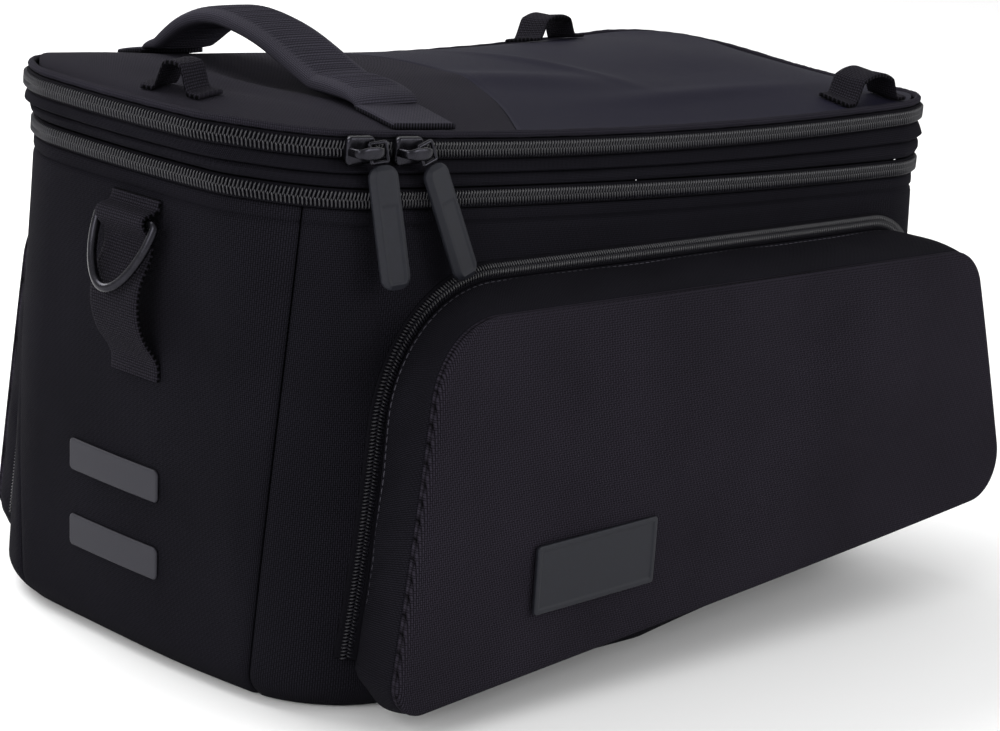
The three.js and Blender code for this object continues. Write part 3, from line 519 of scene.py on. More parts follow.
def zip_frames(line, outward, wrap):
    """Axes along, out of and across a zip at each point of its line."""
    if wrap:
        along = np.roll(line, -1, axis=0) - np.roll(line, 1, axis=0)
    else:
        along = np.gradient(line, axis=0)
    along /= np.linalg.norm(along, axis=1, keepdims=True)
    outward = outward - along * np.einsum("nc,nc->n", along, outward)[:, None]
    outward /= np.linalg.norm(outward, axis=1, keepdims=True)
    return np.stack([along, outward, np.cross(outward, along)], axis=1)


def zip_teeth(name, line, outward, seat, reach, width, height, wrap, body="bag"):
    """Two rows of teeth along a line: the second is the first mirrored across, moved on by half a pitch."""
    axes = zip_frames(line, outward, wrap)
    section = np.array([(-0.5, 0.0), (-0.4, 0.62), (0.0, 1.0), (0.4, 0.62), (0.5, 0.0)]) * (width, height)
    stations = np.array([(-0.25, 0.6), (0.15, 1.0), (reach * 0.8, 0.95), (reach, 0.45)])
    shape, faces = small_bar(section, stations, 0.22)
    mirrored = shape * (1, 1, -1)
    mirrored[:, 0] += np.linalg.norm(line[1] - line[0]) / 2
    turned_faces = [f[:, ::-1] for f in faces]
    origins = line + axes[:, 1] * seat
    return strew(name, [shape, mirrored], [faces, turned_faces], origins, axes, body, coil.material)


def zip_round(name, level, height, width, node):
    """A zip right round a rim: the tape's section rises to a flat bed under the teeth."""
    s, z = ring_steps(level, height, 2.0)
    half = width / 2
    bed = np.array([
        (-1.2, -half), (0.1, -half), (0.35, -half + 0.3), (0.45, -2.9), (0.3, -0.3), (0.3, 0.3), (0.45, 2.9),
        (0.35, half - 0.3), (0.1, half), (-1.2, half),
    ])
    rings = round_point(level, s[:, None], bed[None, :, 0] + 0 * s[:, None], z[:, None] + bed[None, :, 1])
    tape = loft(name + "_tape", rings, "bag", tape_cloth, wrap=True)
    dress(tape, "zip_coil", node)
    s, z = ring_steps(level, height, 1.42)
    line = round_point(level, s, 0 * s, z)
    outward = np.concatenate([plan_normal(level, s), 0 * s[:, None]], axis=1)
    teeth = zip_teeth(name + "_teeth", line, outward, 0.45, 2.75, 0.95, 1.15, True)


zip_round("expansion_zip", lower, lower_height, 7.0, "expansion_zip")
zip_round("lid_zip", upper, upper_height, 7.0, "lid_zip")


# The expansion gusset: a band of twill between the zips, which folds over itself when its zip is shut, so a dark
# crease runs round between two soft rolls.
s, low_z = ring_steps(lower, lower_height, 2.2)
flat_high = plan(upper, s)
share = np.linspace(0, 1, 44)
roll_at = np.array([0, 0.06, 0.2, 0.36, 0.46, 0.5, 0.53, 0.62, 0.78, 0.93, 1.0])
roll_out = np.array([-0.8, 0.6, 1.5, 1.3, 0.2, -1.7, 0.9, 2.0, 1.1, 0.2, -0.8])
fold = np.interp(share, roll_at, roll_out)[None, :]
fold = fold + 0.35 * np.sin(s * 83)[:, None] * np.sin(np.pi * share * 2)[None, :] + 0.2 * np.sin(s * 211)[:, None] * fold / 2
from_z = low_z + 3.8
to_z = upper_height(flat_high) - 3.8
level = lower + (upper - lower) * share[:, None]
z = from_z[:, None] + (to_z - from_z)[:, None] * share[None, :]
gusset = shell(
    "gusset_band",
    round_point(level[None], s[:, None] + 0 * z, fold, z),
    round_point(level[None], s[:, None] + 0 * z, fold * 0 - 2.0, z),
    "bag", body_cloth, wrap=True)
dress(gusset, "body_cloth", "expansion_gusset")


# The lid: foam under a ribbed cloth at the rear and a smooth coated one at the front, with a piped edge over the
# upper zip. It sags between its rims, and its slack shows as long soft folds.
WELT, WELT_RADIUS = 5.0, 1.2
lid_plan = upper - 3.9
lid_folds = np.array([
    # along, across, reach along, reach across, turn, rise
    (-0.64, 0.0, 0.13, 0.55, 0, -0.5),
    (-0.84, -0.25, 0.07, 0.4, 12, -0.25),
    (-0.06, -0.3, 0.24, 0.12, -20, 0.16),
    (0.35, -0.62, 0.3, 0.08, 6, 0.18),
    (0.13, 0.0, 0.03, 0.42, 9, 0.1),
    (0.55, -0.3, 0.3, 0.22, 8, -0.12),
])


def lid_height(flat):
    """The lid's height: a dome of 12 mm over the rim, less towards the front, times a sum of tilted bell curves."""
    along, across = flat[..., 0] / upper[0], flat[..., 1] / upper[1]
    side = np.maximum(0, 1 - np.abs(across) ** 3)
    crest = 1 - (across - 0.15) ** 2 / 1.15**2
    ends = np.maximum(0, 1 - np.abs(along) ** 5)
    dome = 12 * (1 - 0.3 * (1 + along) / 2)
    turn = np.radians(lid_folds[:, 4])
    dx, dy = along[..., None] - lid_folds[:, 0], across[..., None] - lid_folds[:, 1]
    u = (dx * np.cos(turn) + dy * np.sin(turn)) / lid_folds[:, 2]
    v = (dy * np.cos(turn) - dx * np.sin(turn)) / lid_folds[:, 3]
    folded = (lid_folds[:, 5] * np.exp(-(u**2) - v**2)).sum(axis=-1)
    full = (ends * side * crest) ** 0.7
    return upper_height(flat) + WELT + dome * full * (1 + folded) + dome * folded * 0.3 * full


def on_lid(flat, lift):
    return np.concatenate([flat, (lid_height(flat) + lift)[..., None]], axis=-1)


def seam_at(across):
    return -38.0 - 30.0 * across**2


ribbed_cloth = woven("ribbed_cloth", shade(3, 3, 5), shade(44, 42, 50), 0.75, 1.0, 0.2, 0.88, 0.0, 0.04)
smooth_cloth = woven("smooth_cloth", shade(10, 9, 20), shade(21, 19, 35), 0.35, 1.0, 0.03, 0.62, 0.0, 0.06)
for name, first, last, rows, finish, slot in (
    ("lid_ribbed", lambda k: -lid_plan[0] + 0 * k, lambda k: seam_at(k) - 0.15, 150, ribbed_cloth, "ribbed_cloth"),
    ("lid_smooth", lambda k: seam_at(k) + 0.15, lambda k: lid_plan[0] + 0 * k, 210, smooth_cloth, "smooth_cloth"),
):
    t, across = np.meshgrid(eased(rows), 2 * eased(110) - 1, indexing="ij")
    x = first(across) + (last(across) - first(across)) * t
    flat = across_level(lid_plan, x, across)
    to_seam = np.abs(x - seam_at(across))
    lift = -1.3 * (1 - edge(to_seam, 2.5))
    panel = shell(name, on_lid(flat, lift), on_lid(flat, 0 * lift - 3.0), "bag", finish)
    dress(panel, slot, name + "_panel")

s, z = ring_steps(upper, upper_height, 2.0)
angle = np.linspace(0, 2 * np.pi, 14, endpoint=False)
pucker = (1 + 0.05 * np.sin(s * 800) + 0.04 * np.sin(s * 297))[:, None]
piping = round_point(
    upper, s[:, None] + 0 * angle, WELT_RADIUS * (1.15 * pucker * np.cos(angle) - 1),
    z[:, None] + WELT + WELT_RADIUS * 1.15 * pucker * np.sin(angle))
welt = loft("lid_piping", piping, "bag", ribbed_cloth, wrap=True)
dress(welt, "ribbed_cloth", "lid_welt")


# The carrying handle: foam in a cross-ribbed webbing, arched over the lid, with its flat ends sewn down on tabs.
def curve_through(knots, count):
    """Natural cubic spline through the knots by chord length, stepped evenly along its own length."""
    knots = np.asarray(knots, dtype=float)
    t = np.append(0, np.cumsum(np.linalg.norm(np.diff(knots, axis=0), axis=1)))
    gap, last = np.diff(t), len(t) - 1
    system, wanted = np.eye(len(t)), np.zeros_like(knots)
    k = np.arange(1, last)
    system[k, k - 1], system[k, k], system[k, k + 1] = gap[:-1], 2 * (gap[:-1] + gap[1:]), gap[1:]
    wanted[1:-1] = 6 * np.diff(np.diff(knots, axis=0) / gap[:, None], axis=0)
    bend = np.linalg.solve(system, wanted)

    def at(q):
        k = np.clip(np.searchsorted(t, q, side="right") - 1, 0, last - 1)
        a, b, h = (q - t[k])[:, None], (t[k + 1] - q)[:, None], gap[k][:, None]
        return ((bend[k] * b**3 + bend[k + 1] * a**3) / (6 * h)
                + (knots[k] / h - bend[k] * h / 6) * b + (knots[k + 1] / h - bend[k + 1] * h / 6) * a)

    fine = np.linspace(0, t[-1], 3000)
    length = np.append(0, np.cumsum(np.linalg.norm(np.diff(at(fine), axis=0), axis=1)))
    return at(np.interp(np.linspace(0, length[-1], count), length, fine))


def carry(path, across, section):
    """Rings of a section (across, up) carried along a path; up is square to the path and to the across axis."""
    along = np.gradient(path, axis=0)
    along /= np.linalg.norm(along, axis=1, keepdims=True)
    across = np.broadcast_to(np.asarray(across, dtype=float), path.shape)
    up = np.cross(across, along)
    up /= np.linalg.norm(up, axis=1, keepdims=True)
    section = np.broadcast_to(section, (len(path), *np.shape(section)[-2:]))
    return path[:, None] + section[..., :1] * across[:, None] + section[..., 1:] * up[:, None]


def oval(width, height, power, count):
    """A closed oval: cosine and sine to a power below 1 square it up."""
    angle = np.linspace(0, 2 * np.pi, count, endpoint=False)
    c, s = np.cos(angle), np.sin(angle)
    return np.stack([np.sign(c) * np.abs(c) ** power * width / 2, np.sign(s) * np.abs(s) ** power * height / 2], axis=-1)


HANDLE_X, HANDLE_WIDTH, HANDLE_THICK = -113.0, 30.0, 7.0
arch = np.array([
    # across, rise
    (-1, 0.02), (-0.72, 0.2), (-0.38, 0.52), (-0.06, 0.83), (0.17, 0.96), (0.36, 1), (0.6, 0.86), (0.84, 0.46), (1, 0.04),
])
arch_base = upper_height(np.array([HANDLE_X, 0.0])) + WELT + HANDLE_THICK
arch_y = -56 + 118 * (1 + arch[:, 0]) / 2
arch_z = arch_base + (227.5 - arch_base) * arch[:, 1] - HANDLE_THICK / 2
grip_path = curve_through(np.stack([0 * arch_y + HANDLE_X, arch_y, arch_z], axis=1), 560)
under_grip = np.stack([
    lid_height(np.stack([grip_path[:, 0] + k, grip_path[:, 1]], axis=1)) for k in (-15, -7.5, 0, 7.5, 15)]).max(axis=0)
grip_path[:, 2] = np.maximum(grip_path[:, 2], under_grip + 0.5 + HANDLE_THICK / 2)
walked_grip = np.append(0, np.cumsum(np.linalg.norm(np.diff(grip_path, axis=0), axis=1)))
to_end = np.minimum(walked_grip, walked_grip[-1] - walked_grip)
section = oval(HANDLE_WIDTH, HANDLE_THICK, 0.62, 48)
flatten = 0.24 + 0.76 * edge(to_end, 20)
seat = under_grip + 0.5 + HANDLE_THICK * flatten / 2
grip_path[:, 2] = seat + np.maximum(0, grip_path[:, 2] - seat) * edge(to_end, 26)
ribs = 0.32 * np.sin(walked_grip * 2 * np.pi / 2.2) * edge(to_end - 5, 4)
inside = np.clip((11.5 - np.abs(section[:, 0])) / 1.0, 0, 1)
sections = section[None] * np.stack([np.ones_like(flatten), flatten], axis=1)[:, None]
sections[..., 1] += (ribs[:, None] * inside[None]) * np.sign(section[None, :, 1])
grip_cloth = woven("grip_webbing", shade(9, 9, 12), shade(60, 58, 68), 0.7, 1.0, 0.2, 0.85, 0.0, 0.07)
grip = loft("handle_pad", carry(grip_path, (1, 0, 0), sections), "bag", grip_cloth)
dress(grip, "webbing", "handle_grip")
for name, start, stop, node in (("near_tab", -76.1, -56.3, "near_handle_tab"), ("far_tab", 62.3, 76.1, "far_handle_tab")):
    x, y = np.meshgrid(HANDLE_X + HANDLE_WIDTH * (eased(40) - 0.5), np.linspace(start, stop, 24), indexing="ij")
    flat = np.stack([x, y], axis=-1)
    rounding = 0.8 * (1 - edge(HANDLE_WIDTH / 2 - np.abs(x - HANDLE_X), 1.2))
    tab = shell(name, on_lid(flat, 2.5 - rounding), on_lid(flat, 0.5 + 0 * x), "bag", grip_cloth)
    dress(tab, "webbing", node)

# Webbing loops for bungee cords, sewn flat to the lid at both ends and arched between them.
loop_cloth = woven("loop_webbing", shade(2, 2, 3), shade(38, 36, 43), 1.1, 1.0, 0.4, 0.88, 0.0, 0.05)
for name, centre, heading, span, rise, width in (
    ("rear_lid_loop", (-178.0, -22.0), -82, 27.0, 9.0, 12.0),
    ("near_lid_loop", (142.0, -68.5), 3, 40.0, 10.0, 15.0),
    ("far_lid_loop", (97.0, 69.0), 4, 34.0, 9.0, 15.0),
):
    t, across = np.meshgrid(np.linspace(0, 1, 90), np.linspace(-0.5, 0.5, 20), indexing="ij")
    along = span * (t - 0.5)
    way = np.radians(heading)
    flat = np.array(centre) + np.stack([
        along * np.cos(way) - across * width * np.sin(way), along * np.sin(way) + across * width * np.cos(way)], axis=-1)
    middle = np.array(centre) + along[..., None] * np.array([np.cos(way), np.sin(way)])
    free = np.clip((span / 2 - np.abs(along)) / 5.0 - 1, 0, 1)
    rest, level_rest = lid_height(flat) + 0.5, lid_height(middle) + 0.5
    free_smooth = free * free * (3 - 2 * free)
    height = np.maximum(rest, rest + (level_rest - rest) * free_smooth) + rise * np.sin(np.pi * t) ** 0.8 * free_smooth
    thick = 1.6 - 0.5 * (1 - edge((0.5 - np.abs(across)) * width, 0.8))
    under = np.concatenate([flat, height[..., None]], axis=-1)
    over = np.concatenate([flat, (height + thick)[..., None]], axis=-1)
    loop = shell(name.replace("lid_loop", "cord_loop"), over, under, "bag", loop_cloth)
    dress(loop, "webbing", name)


# The light loop on the rear end: 25 mm webbing sewn down at its foot and folded at its top over the bar of a steel
# D-ring, which swings in the fold.
def end_reach(y, z):
    """Distance of the rear end from the middle: its level's half length there, bulged."""
    share = z / lower_height(np.stack([0 * z - lower[0], y + 0 * z], axis=-1))
    level = foot + (lower - foot) * share[..., None]
    return np.abs(swell(-level[..., 0], y, level)[..., 0])


LOOP_Y, LOOP_WIDTH, LOOP_THICK, LOOP_TOP, LOOP_FOOT = -15.0, 25.0, 1.8, 171.0, 106.0
pivot_z, bar_out, over_bar, bow = 163.0, 5.2, 9.7, 6.8
flat_out = 0.5 + LOOP_THICK
strap_knots = np.array([
    # out, height
    (flat_out, LOOP_TOP), (flat_out + 0.6, LOOP_TOP - 3), (over_bar - 1, pivot_z + 2.6), (over_bar, pivot_z),
    (over_bar - 1.2, pivot_z - 2.8), (flat_out + 0.5 * bow, pivot_z - 7), (flat_out + 0.75 * bow, pivot_z - 15),
    (flat_out + bow, 145.0), (flat_out + 0.75 * bow, LOOP_FOOT + 13), (flat_out, LOOP_FOOT + 5), (flat_out, LOOP_FOOT),
])
strap_path = curve_through(strap_knots, 200)
strap_along = np.gradient(strap_path, axis=0)
strap_along /= np.linalg.norm(strap_along, axis=1, keepdims=True)
strap_out = np.stack([-strap_along[:, 1], strap_along[:, 0]], axis=1)
across = np.linspace(-0.5, 0.5, 26)
selvedge = 0.4 * (1 - edge((0.5 - np.abs(across)) * LOOP_WIDTH, 0.9))


def strap_side(depth):
    """The strap's surface at a depth under its outer face, laid on the bulging end."""
    out, z = (strap_path[:, None] - strap_out[:, None] * depth[None, :, None]).transpose(2, 0, 1)
    y = LOOP_Y + across[None, :] * LOOP_WIDTH + 0 * z
    return np.stack([-end_reach(y, z) - out, y, z], axis=-1)


strap = shell("light_strap", strap_side(selvedge), strap_side(LOOP_THICK - selvedge), "bag", loop_cloth)
dress(strap, "webbing", "light_loop")

steel = Maker("dark_steel", Metallic=0.9, Specular_IOR_Level=0.5)
steel_cloud = steel.noise(260.0)
steel.feed(Base_Color=steel.mix(steel_cloud, shade(26, 26, 30), shade(48, 47, 53)), Roughness=0.2 + 0.16 * steel_cloud)
steel.bump(steel.noise(2400.0), 0.02)


def wire_ring(name, outline, wire, rounding, place, body, node):
    """A round wire bent to a closed flat outline, whose corners are rounded by averaging along its length; place
    puts the flat outline (across, up) and its square (out) into the bag."""
    shut = np.concatenate([outline, outline[:1]])
    length = np.append(0, np.cumsum(np.linalg.norm(np.diff(shut, axis=0), axis=1)))
    even = np.linspace(0, length[-1], 240, endpoint=False)
    path = np.stack([np.interp(even, length, shut[:, k]) for k in (0, 1)], axis=1)
    reach = max(1, int(round(rounding / (length[-1] / 240))))
    path = np.mean([np.roll(path, k, axis=0) for k in range(-reach, reach + 1)], axis=0)
    along = np.roll(path, -1, axis=0) - np.roll(path, 1, axis=0)
    along /= np.linalg.norm(along, axis=1, keepdims=True)
    angle = np.linspace(0, 2 * np.pi, 14, endpoint=False)
    side = np.stack([along[:, 1], -along[:, 0]], axis=1)
    flat = path[:, None] + side[:, None] * np.cos(angle)[None, :, None] * wire / 2
    out = np.broadcast_to(np.sin(angle) * wire / 2, flat.shape[:2])
    ring = loft(name, place(flat[..., 0], out, flat[..., 1]), body, steel.material, wrap=True)
    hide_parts(node)


RING_HALF, RING_DROP, RING_LEAN = (34.0 - 3.4) / 2, 29.0 - 3.4, np.radians(20)
bend = np.pi + np.pi * np.linspace(0, 1, 61)
bow_line = np.stack([RING_HALF * np.cos(bend) * (1 - 0.12 * np.sin(bend) ** 2), RING_DROP * np.sin(bend)], axis=1)
ring_x = -end_reach(np.array(LOOP_Y), np.array(pivot_z)) - bar_out


def on_ring(across, out, up):
    """The ring hangs from its bar, leaning out by 20 degrees."""
    x = out * np.cos(RING_LEAN) + up * np.sin(RING_LEAN)
    z = up * np.cos(RING_LEAN) - out * np.sin(RING_LEAN)
    return np.stack([ring_x + x, LOOP_Y + across, pivot_z + z], axis=-1)


wire_ring("hanging_ring", bow_line, 3.4, 1.6, on_ring, "d_ring", "d_ring")


# Two reflector bars bonded to the rear end: dark film over a fine grid of cells, with bevelled edges.
def patch(width, height, radius, columns, rows):
    """A rectangle with round corners as a grid: each row is as wide as the corner's circle leaves it. Gives the
    flat points and the distance to the edge."""
    u, v = np.meshgrid(2 * eased(columns) - 1, 2 * eased(rows) - 1, indexing="ij")
    into = np.maximum(0, np.abs(v) * height / 2 - (height / 2 - radius))
    half = width / 2 - radius + np.sqrt(np.maximum(0, radius**2 - into**2))
    x, z = u * half, v * height / 2
    return x, z, np.minimum(half - np.abs(x), height / 2 - np.abs(z))


film = Maker("reflective_film", Specular_IOR_Level=0.25)
film_u, film_v = film.cut()
cells = ((film_u * 2.2).to("FRACT") - 0.5).to("ABSOLUTE") + ((film_v * 2.2).to("FRACT") - 0.5).to("ABSOLUTE")
film.feed(Base_Color=film.mix(cells, shade(26, 26, 31), shade(46, 45, 53)), Roughness=0.5 + 0.2 * cells)
film.bump(cells, 0.04)
for name, z_middle in (("upper_reflector", 67.0), ("lower_reflector", 38.0)):
    y, z, to_edge = patch(50.0, 12.0, 2.0, 60, 24)
    reach = end_reach(y - 2.0, z + z_middle)
    front = np.stack([-reach - 0.5 - 0.8 * (0.3 + 0.7 * edge(to_edge, 0.8)), y - 2.0, z + z_middle], axis=-1)
    back = np.stack([-reach - 0.5, y - 2.0, z + z_middle], axis=-1)
    bar = shell(name.replace("reflector", "reflecting_bar"), front, back, "bag", film.material)
    dress(bar, "reflective", name)


# The zip's two sliders, cast in dark metal: a plate over the teeth with a bridge. A wire loop round one post of
# the bridge carries a moulded rubber pull with bevelled edges.
def turn_about(axis, degrees):
    """Rotation by an angle about X, Y or Z, as a matrix."""
    c, s = np.cos(np.radians(degrees)), np.sin(np.radians(degrees))
    a, b = (axis + 1) % 3, (axis + 2) % 3
    made = np.eye(3)
    made[a, a], made[a, b], made[b, a], made[b, b] = c, -s, s, c
    return made


rubber = Maker("pull_rubber", Specular_IOR_Level=0.2)
rubber_cloud = rubber.noise(420.0)
rubber.feed(Base_Color=rubber.mix(rubber_cloud, shade(19, 20, 25), shade(31, 32, 39)), Roughness=0.5 + 0.15 * rubber_cloud)
rubber.bump(rubber.noise(3000.0), 0.03)
SLIDER_LONG, SLIDER_HIGH, PLATE, BRIDGE, ROD, OPENING = 12.5, 10.5, 2.2, 3.0, 1.6, 4.4
LINK_WIDE, LINK_WIRE, LINK_DROP = 7.8, 1.4, 4.6
PULL_WIDE, PULL_LONG, PULL_THICK, PULL_LEAN, PULL_PROUD = 11.0, 42.5, 4.2, 11.0, 1.0
for name, way, turned, swing in (("rear", SIDE * 0.004, -14, 7), ("front", SIDE * 0.078, 0, 19)):
    normal = plan_normal(upper, np.array(way))
    seat = round_point(upper, np.array(way), np.array(2.22), upper_height(plan(upper, np.array(way))))
    carrier = turn_about(2, np.degrees(np.arctan2(normal[0], -normal[1])))
    hinge = np.array([SLIDER_LONG / 2 - ROD / 2, -PLATE - OPENING / 2, 0])
    hung = turn_about(2, turned) @ turn_about(0, -PULL_LEAN) @ turn_about(1, -swing)

    def on_slider(x, y, z):
        return seat + np.stack([x + 0 * z, y + 0 * z, z + 0 * x], axis=-1) @ carrier.T

    def on_pull(x, out, z):
        return seat + (hinge + np.stack([x + 0 * z, -out + 0 * z, z + 0 * x], axis=-1) @ hung.T) @ carrier.T

    x, z, to_edge = patch(SLIDER_LONG, SLIDER_HIGH, 2.4, 40, 36)
    z = z * (1 - 0.12 * (x / SLIDER_LONG + 0.5))
    plate = shell(
        name + "_slider_plate", on_slider(x, -PLATE * (0.45 + 0.55 * edge(to_edge, 1.2)), z), on_slider(x, 0 * x, z),
        "bag", steel.material)
    high = -PLATE - OPENING - ROD / 2
    post_x = SLIDER_LONG / 2 - ROD / 2
    staple = np.array([
        (-post_x, -PLATE + 0.4, 0), (-post_x, -PLATE - OPENING / 2, 0), (-post_x + 0.5, high + 0.5, 0),
        (-post_x + 1.6, high, 0), (0, high - 0.2, 0), (post_x - 1.6, high, 0), (post_x - 0.5, high + 0.5, 0),
        (post_x, -PLATE - OPENING / 2, 0), (post_x, -PLATE + 0.4, 0)])
    arch_path = curve_through(staple, 90)
    wide = 1 + 0.5 * np.exp(-((arch_path[:, 0] / 4.2) ** 4)) * (arch_path[:, 1] < high + 1.2)
    rod = oval(BRIDGE, ROD, 0.7, 20)[None] * np.stack([wide, np.ones_like(wide)], axis=1)[:, None]
    rings = carry(arch_path, (0, 0, 1), rod)
    bridge = loft(name + "_slider_bridge", on_slider(rings[..., 0], rings[..., 1], rings[..., 2]), "bag", steel.material)
    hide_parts(name + "_slider")

    top = BRIDGE / 2 + 0.6 + LINK_WIRE / 2
    low = -LINK_DROP + LINK_WIRE / 2
    half = LINK_WIDE / 2 - LINK_WIRE / 2
    frame_line = np.array([(-half, low), (half, low), (half, top), (-half, top)])
    wire_ring(name + "_link", frame_line, LINK_WIRE, 0.7, on_pull, name + "_pull", name + "_pull_link")

    x, z, to_edge = patch(PULL_WIDE, PULL_LONG, 4.4, 40, 120)
    bevel = 0.35 + 0.65 * np.clip(to_edge / 1.7, 0, 1)
    dish = 0.35 * np.clip((to_edge - 2.2) / 0.5, 0, 1) * np.clip((8 - z) / 1.0, 0, 1)
    tab_z = z - LINK_DROP - 0.3 - PULL_LONG / 2
    tab = shell(
        name + "_rubber_pull", on_pull(x, PULL_PROUD + PULL_THICK / 2 * bevel - dish, tab_z),
        on_pull(x, PULL_PROUD - PULL_THICK / 2 * bevel, tab_z), name + "_pull", rubber.material)
    dress(tab, "pull_rubber", name + "_pull_tab")


# The side pockets: a padded face on a gusset that stands out from the wall, with a zip round its mouth. The far one
# is empty and lies flatter.
def side_reach(x, z, side):
    """Distance of a long wall from the middle plane: its level's half width there, bulged. The wall's own x is
    found by four corrections for the bulge."""
    share = z / lower_height(np.stack([x, 0 * x + side * lower[1]], axis=-1))
    level = foot + (lower - foot) * share[..., None]
    flat_x = x
    for _ in range(4):
        flat_x = flat_x - (swell(flat_x, side * half_width_at(level, flat_x, side), level)[..., 0] - x)
    reach = np.abs(swell(flat_x, side * half_width_at(level, flat_x, side), level)[..., 1])
    return reach * tuck_at(x, share) if side < 0 else reach


def round_corners(corners, steps, edge_steps):
    """A closed outline through corners (x, z, radius): an arc of equal steps at each, then a straight of equal
    steps to the next. Gives the points and their outward directions."""
    corners = np.asarray(corners, dtype=float)
    here, radius = corners[:, :2], corners[:, 2]
    before, after = np.roll(here, 1, axis=0) - here, np.roll(here, -1, axis=0) - here
    before /= np.linalg.norm(before, axis=1, keepdims=True)
    after /= np.linalg.norm(after, axis=1, keepdims=True)
    half = np.arccos((before * after).sum(axis=1)) / 2
    bisector = (before + after) / np.linalg.norm(before + after, axis=1, keepdims=True)
    centre = here + bisector * (radius / np.sin(half))[:, None]
    start = here + before * (radius / np.tan(half))[:, None] - centre
    first = np.arctan2(start[:, 1], start[:, 0])
    angle = first[:, None] + (np.pi - 2 * half)[:, None] * np.linspace(0, 1, steps + 1)
    arc = centre[:, None] + radius[:, None, None] * np.stack([np.cos(angle), np.sin(angle)], axis=-1)
    share = np.linspace(0, 1, edge_steps + 1)[1:-1, None]
    straight = arc[:, -1:] + (np.roll(arc[:, 0], -1, axis=0) - arc[:, -1])[:, None] * share
    line = np.concatenate([arc, straight], axis=1).reshape(-1, 2)
    along = np.roll(line, -1, axis=0) - np.roll(line, 1, axis=0)
    along /= np.linalg.norm(along, axis=1, keepdims=True)
    return line, np.stack([along[:, 1], -along[:, 0]], axis=1)


def cushion(name, line, out, place, depth, insets, thick, body, finish):
    """A padded face inside an outline: rings step in by the insets, then shrink to the middle. depth gives the
    lift of its front at each distance from the edge."""
    middle = line.mean(axis=0)
    inner = line - out * insets[-1]
    shrink = np.linspace(1, 0, 40)[1:-1]
    flats = np.concatenate([line[None] - out[None] * insets[:, None, None], middle + (inner - middle) * shrink[:, None, None]])
    far_in = insets[-1] + np.linalg.norm(inner - middle, axis=1) * (1 - shrink[:, None])
    inset = np.concatenate([insets[:, None] + 0 * out[None, :, 0], far_in])
    rows, count = inset.shape
    front = place(flats, depth(flats, inset)).reshape(-1, 3)
    heart = place(middle[None], depth(middle[None], np.array([80.0])))
    back = place(line, 0 * line[:, 0] - thick)
    back_heart = place(middle[None], np.array([-thick]))
    points = np.concatenate([front, heart, back, back_heart])
    face, i, j = grid_faces(rows, count, False, True)
    spots = np.concatenate([flats.reshape(-1, 2), middle[None], line, middle[None]])
    steps = np.arange(count)
    following = (steps + 1) % count
    last, heart_at, back_at = (rows - 1) * count, rows * count, rows * count + 1
    faces = [
        face,
        np.stack([last + following, last + steps, 0 * steps + heart_at], axis=1),
        np.stack([following, steps, back_at + steps, back_at + following], axis=1),
        np.stack([back_at + steps, back_at + following, 0 * steps + back_at + count], axis=1),
    ]
    faces[0] = face[:, ::-1]
    faces[1:] = [f[:, ::-1] for f in faces[1:]]
    return build(name, points, faces, [spots[f] for f in faces], body, finish)


def stitch_row(name, line, outward, seat, spacing):
    """A row of stitches along a line: short rounded bars of thread with gaps between, one every spacing mm."""
    length = np.append(0, np.cumsum(np.linalg.norm(np.diff(line, axis=0), axis=1)))
    even = np.arange(spacing, length[-1] - spacing, spacing)
    place, facing = (np.stack([np.interp(even, length, way[:, k]) for k in range(3)], axis=1) for way in (line, outward))
    axes = zip_frames(place, facing, False)
    section = np.array([(-0.26, 0.0), (-0.18, 0.26), (0.18, 0.26), (0.26, 0.0)])
    stations = np.array([(-spacing * 0.38, 0.35), (-spacing * 0.2, 1.0), (spacing * 0.2, 1.0), (spacing * 0.38, 0.35)])
    shape, faces = small_bar(section, stations, 0.0)
    axes = axes[:, [2, 1, 0]] * np.array([1, 1, -1])[None, :, None]
    row = strew(name, [shape], [faces], place + axes[:, 1] * seat, axes, "bag", thread.material)


thread = Maker("black_thread", Specular_IOR_Level=0.25)
thread_cloud = thread.noise(1500.0)
thread.feed(Base_Color=thread.mix(thread_cloud, shade(24, 23, 28), shade(74, 72, 82)), Roughness=0.5 + 0.2 * thread_cloud)
pocket_cloth = woven("pocket_twill", shade(1, 1, 1), shade(42, 39, 47), 0.85, 2.0, 0.3, 0.9, 0.0, 0.03)
POCKET_FACE, POCKET_GUSSET, POCKET_CROWN, POCKET_SEAT = 4.0, 2.5, 3.0, 1.8
near_face = ((-164, 9, 12), (181, 42, 18), (150, 145, 18), (-146, 146, 30))
far_face = ((-143, 9, 12), (156, 42, 18), (136, 145, 18), (-138, 146, 30))
near_mouth = ((-151, 8, 10), (163, 30, 14), (153, 147, 26), (-135, 148, 52))
far_mouth = ((-150, 8, 10), (148, 30, 14), (140, 147, 26), (-143, 148, 30))


def face_reach(low_reach, high_reach, corners, x, z):
    """Distance of a pocket's face from the middle plane: it leans in towards its top and crowns by 3 mm on a
    parabola each way."""
    corners = np.asarray(corners, dtype=float)
    low, high = corners[:, 1].min(), corners[:, 1].max()
    up = (z - low) / (high - low)
    crown = POCKET_CROWN * (1 - (x / np.abs(corners[:, 0]).max()) ** 2) * (1 - (2 * up - 1) ** 2)
    return low_reach + (high_reach - low_reach) * up + np.maximum(0, crown)


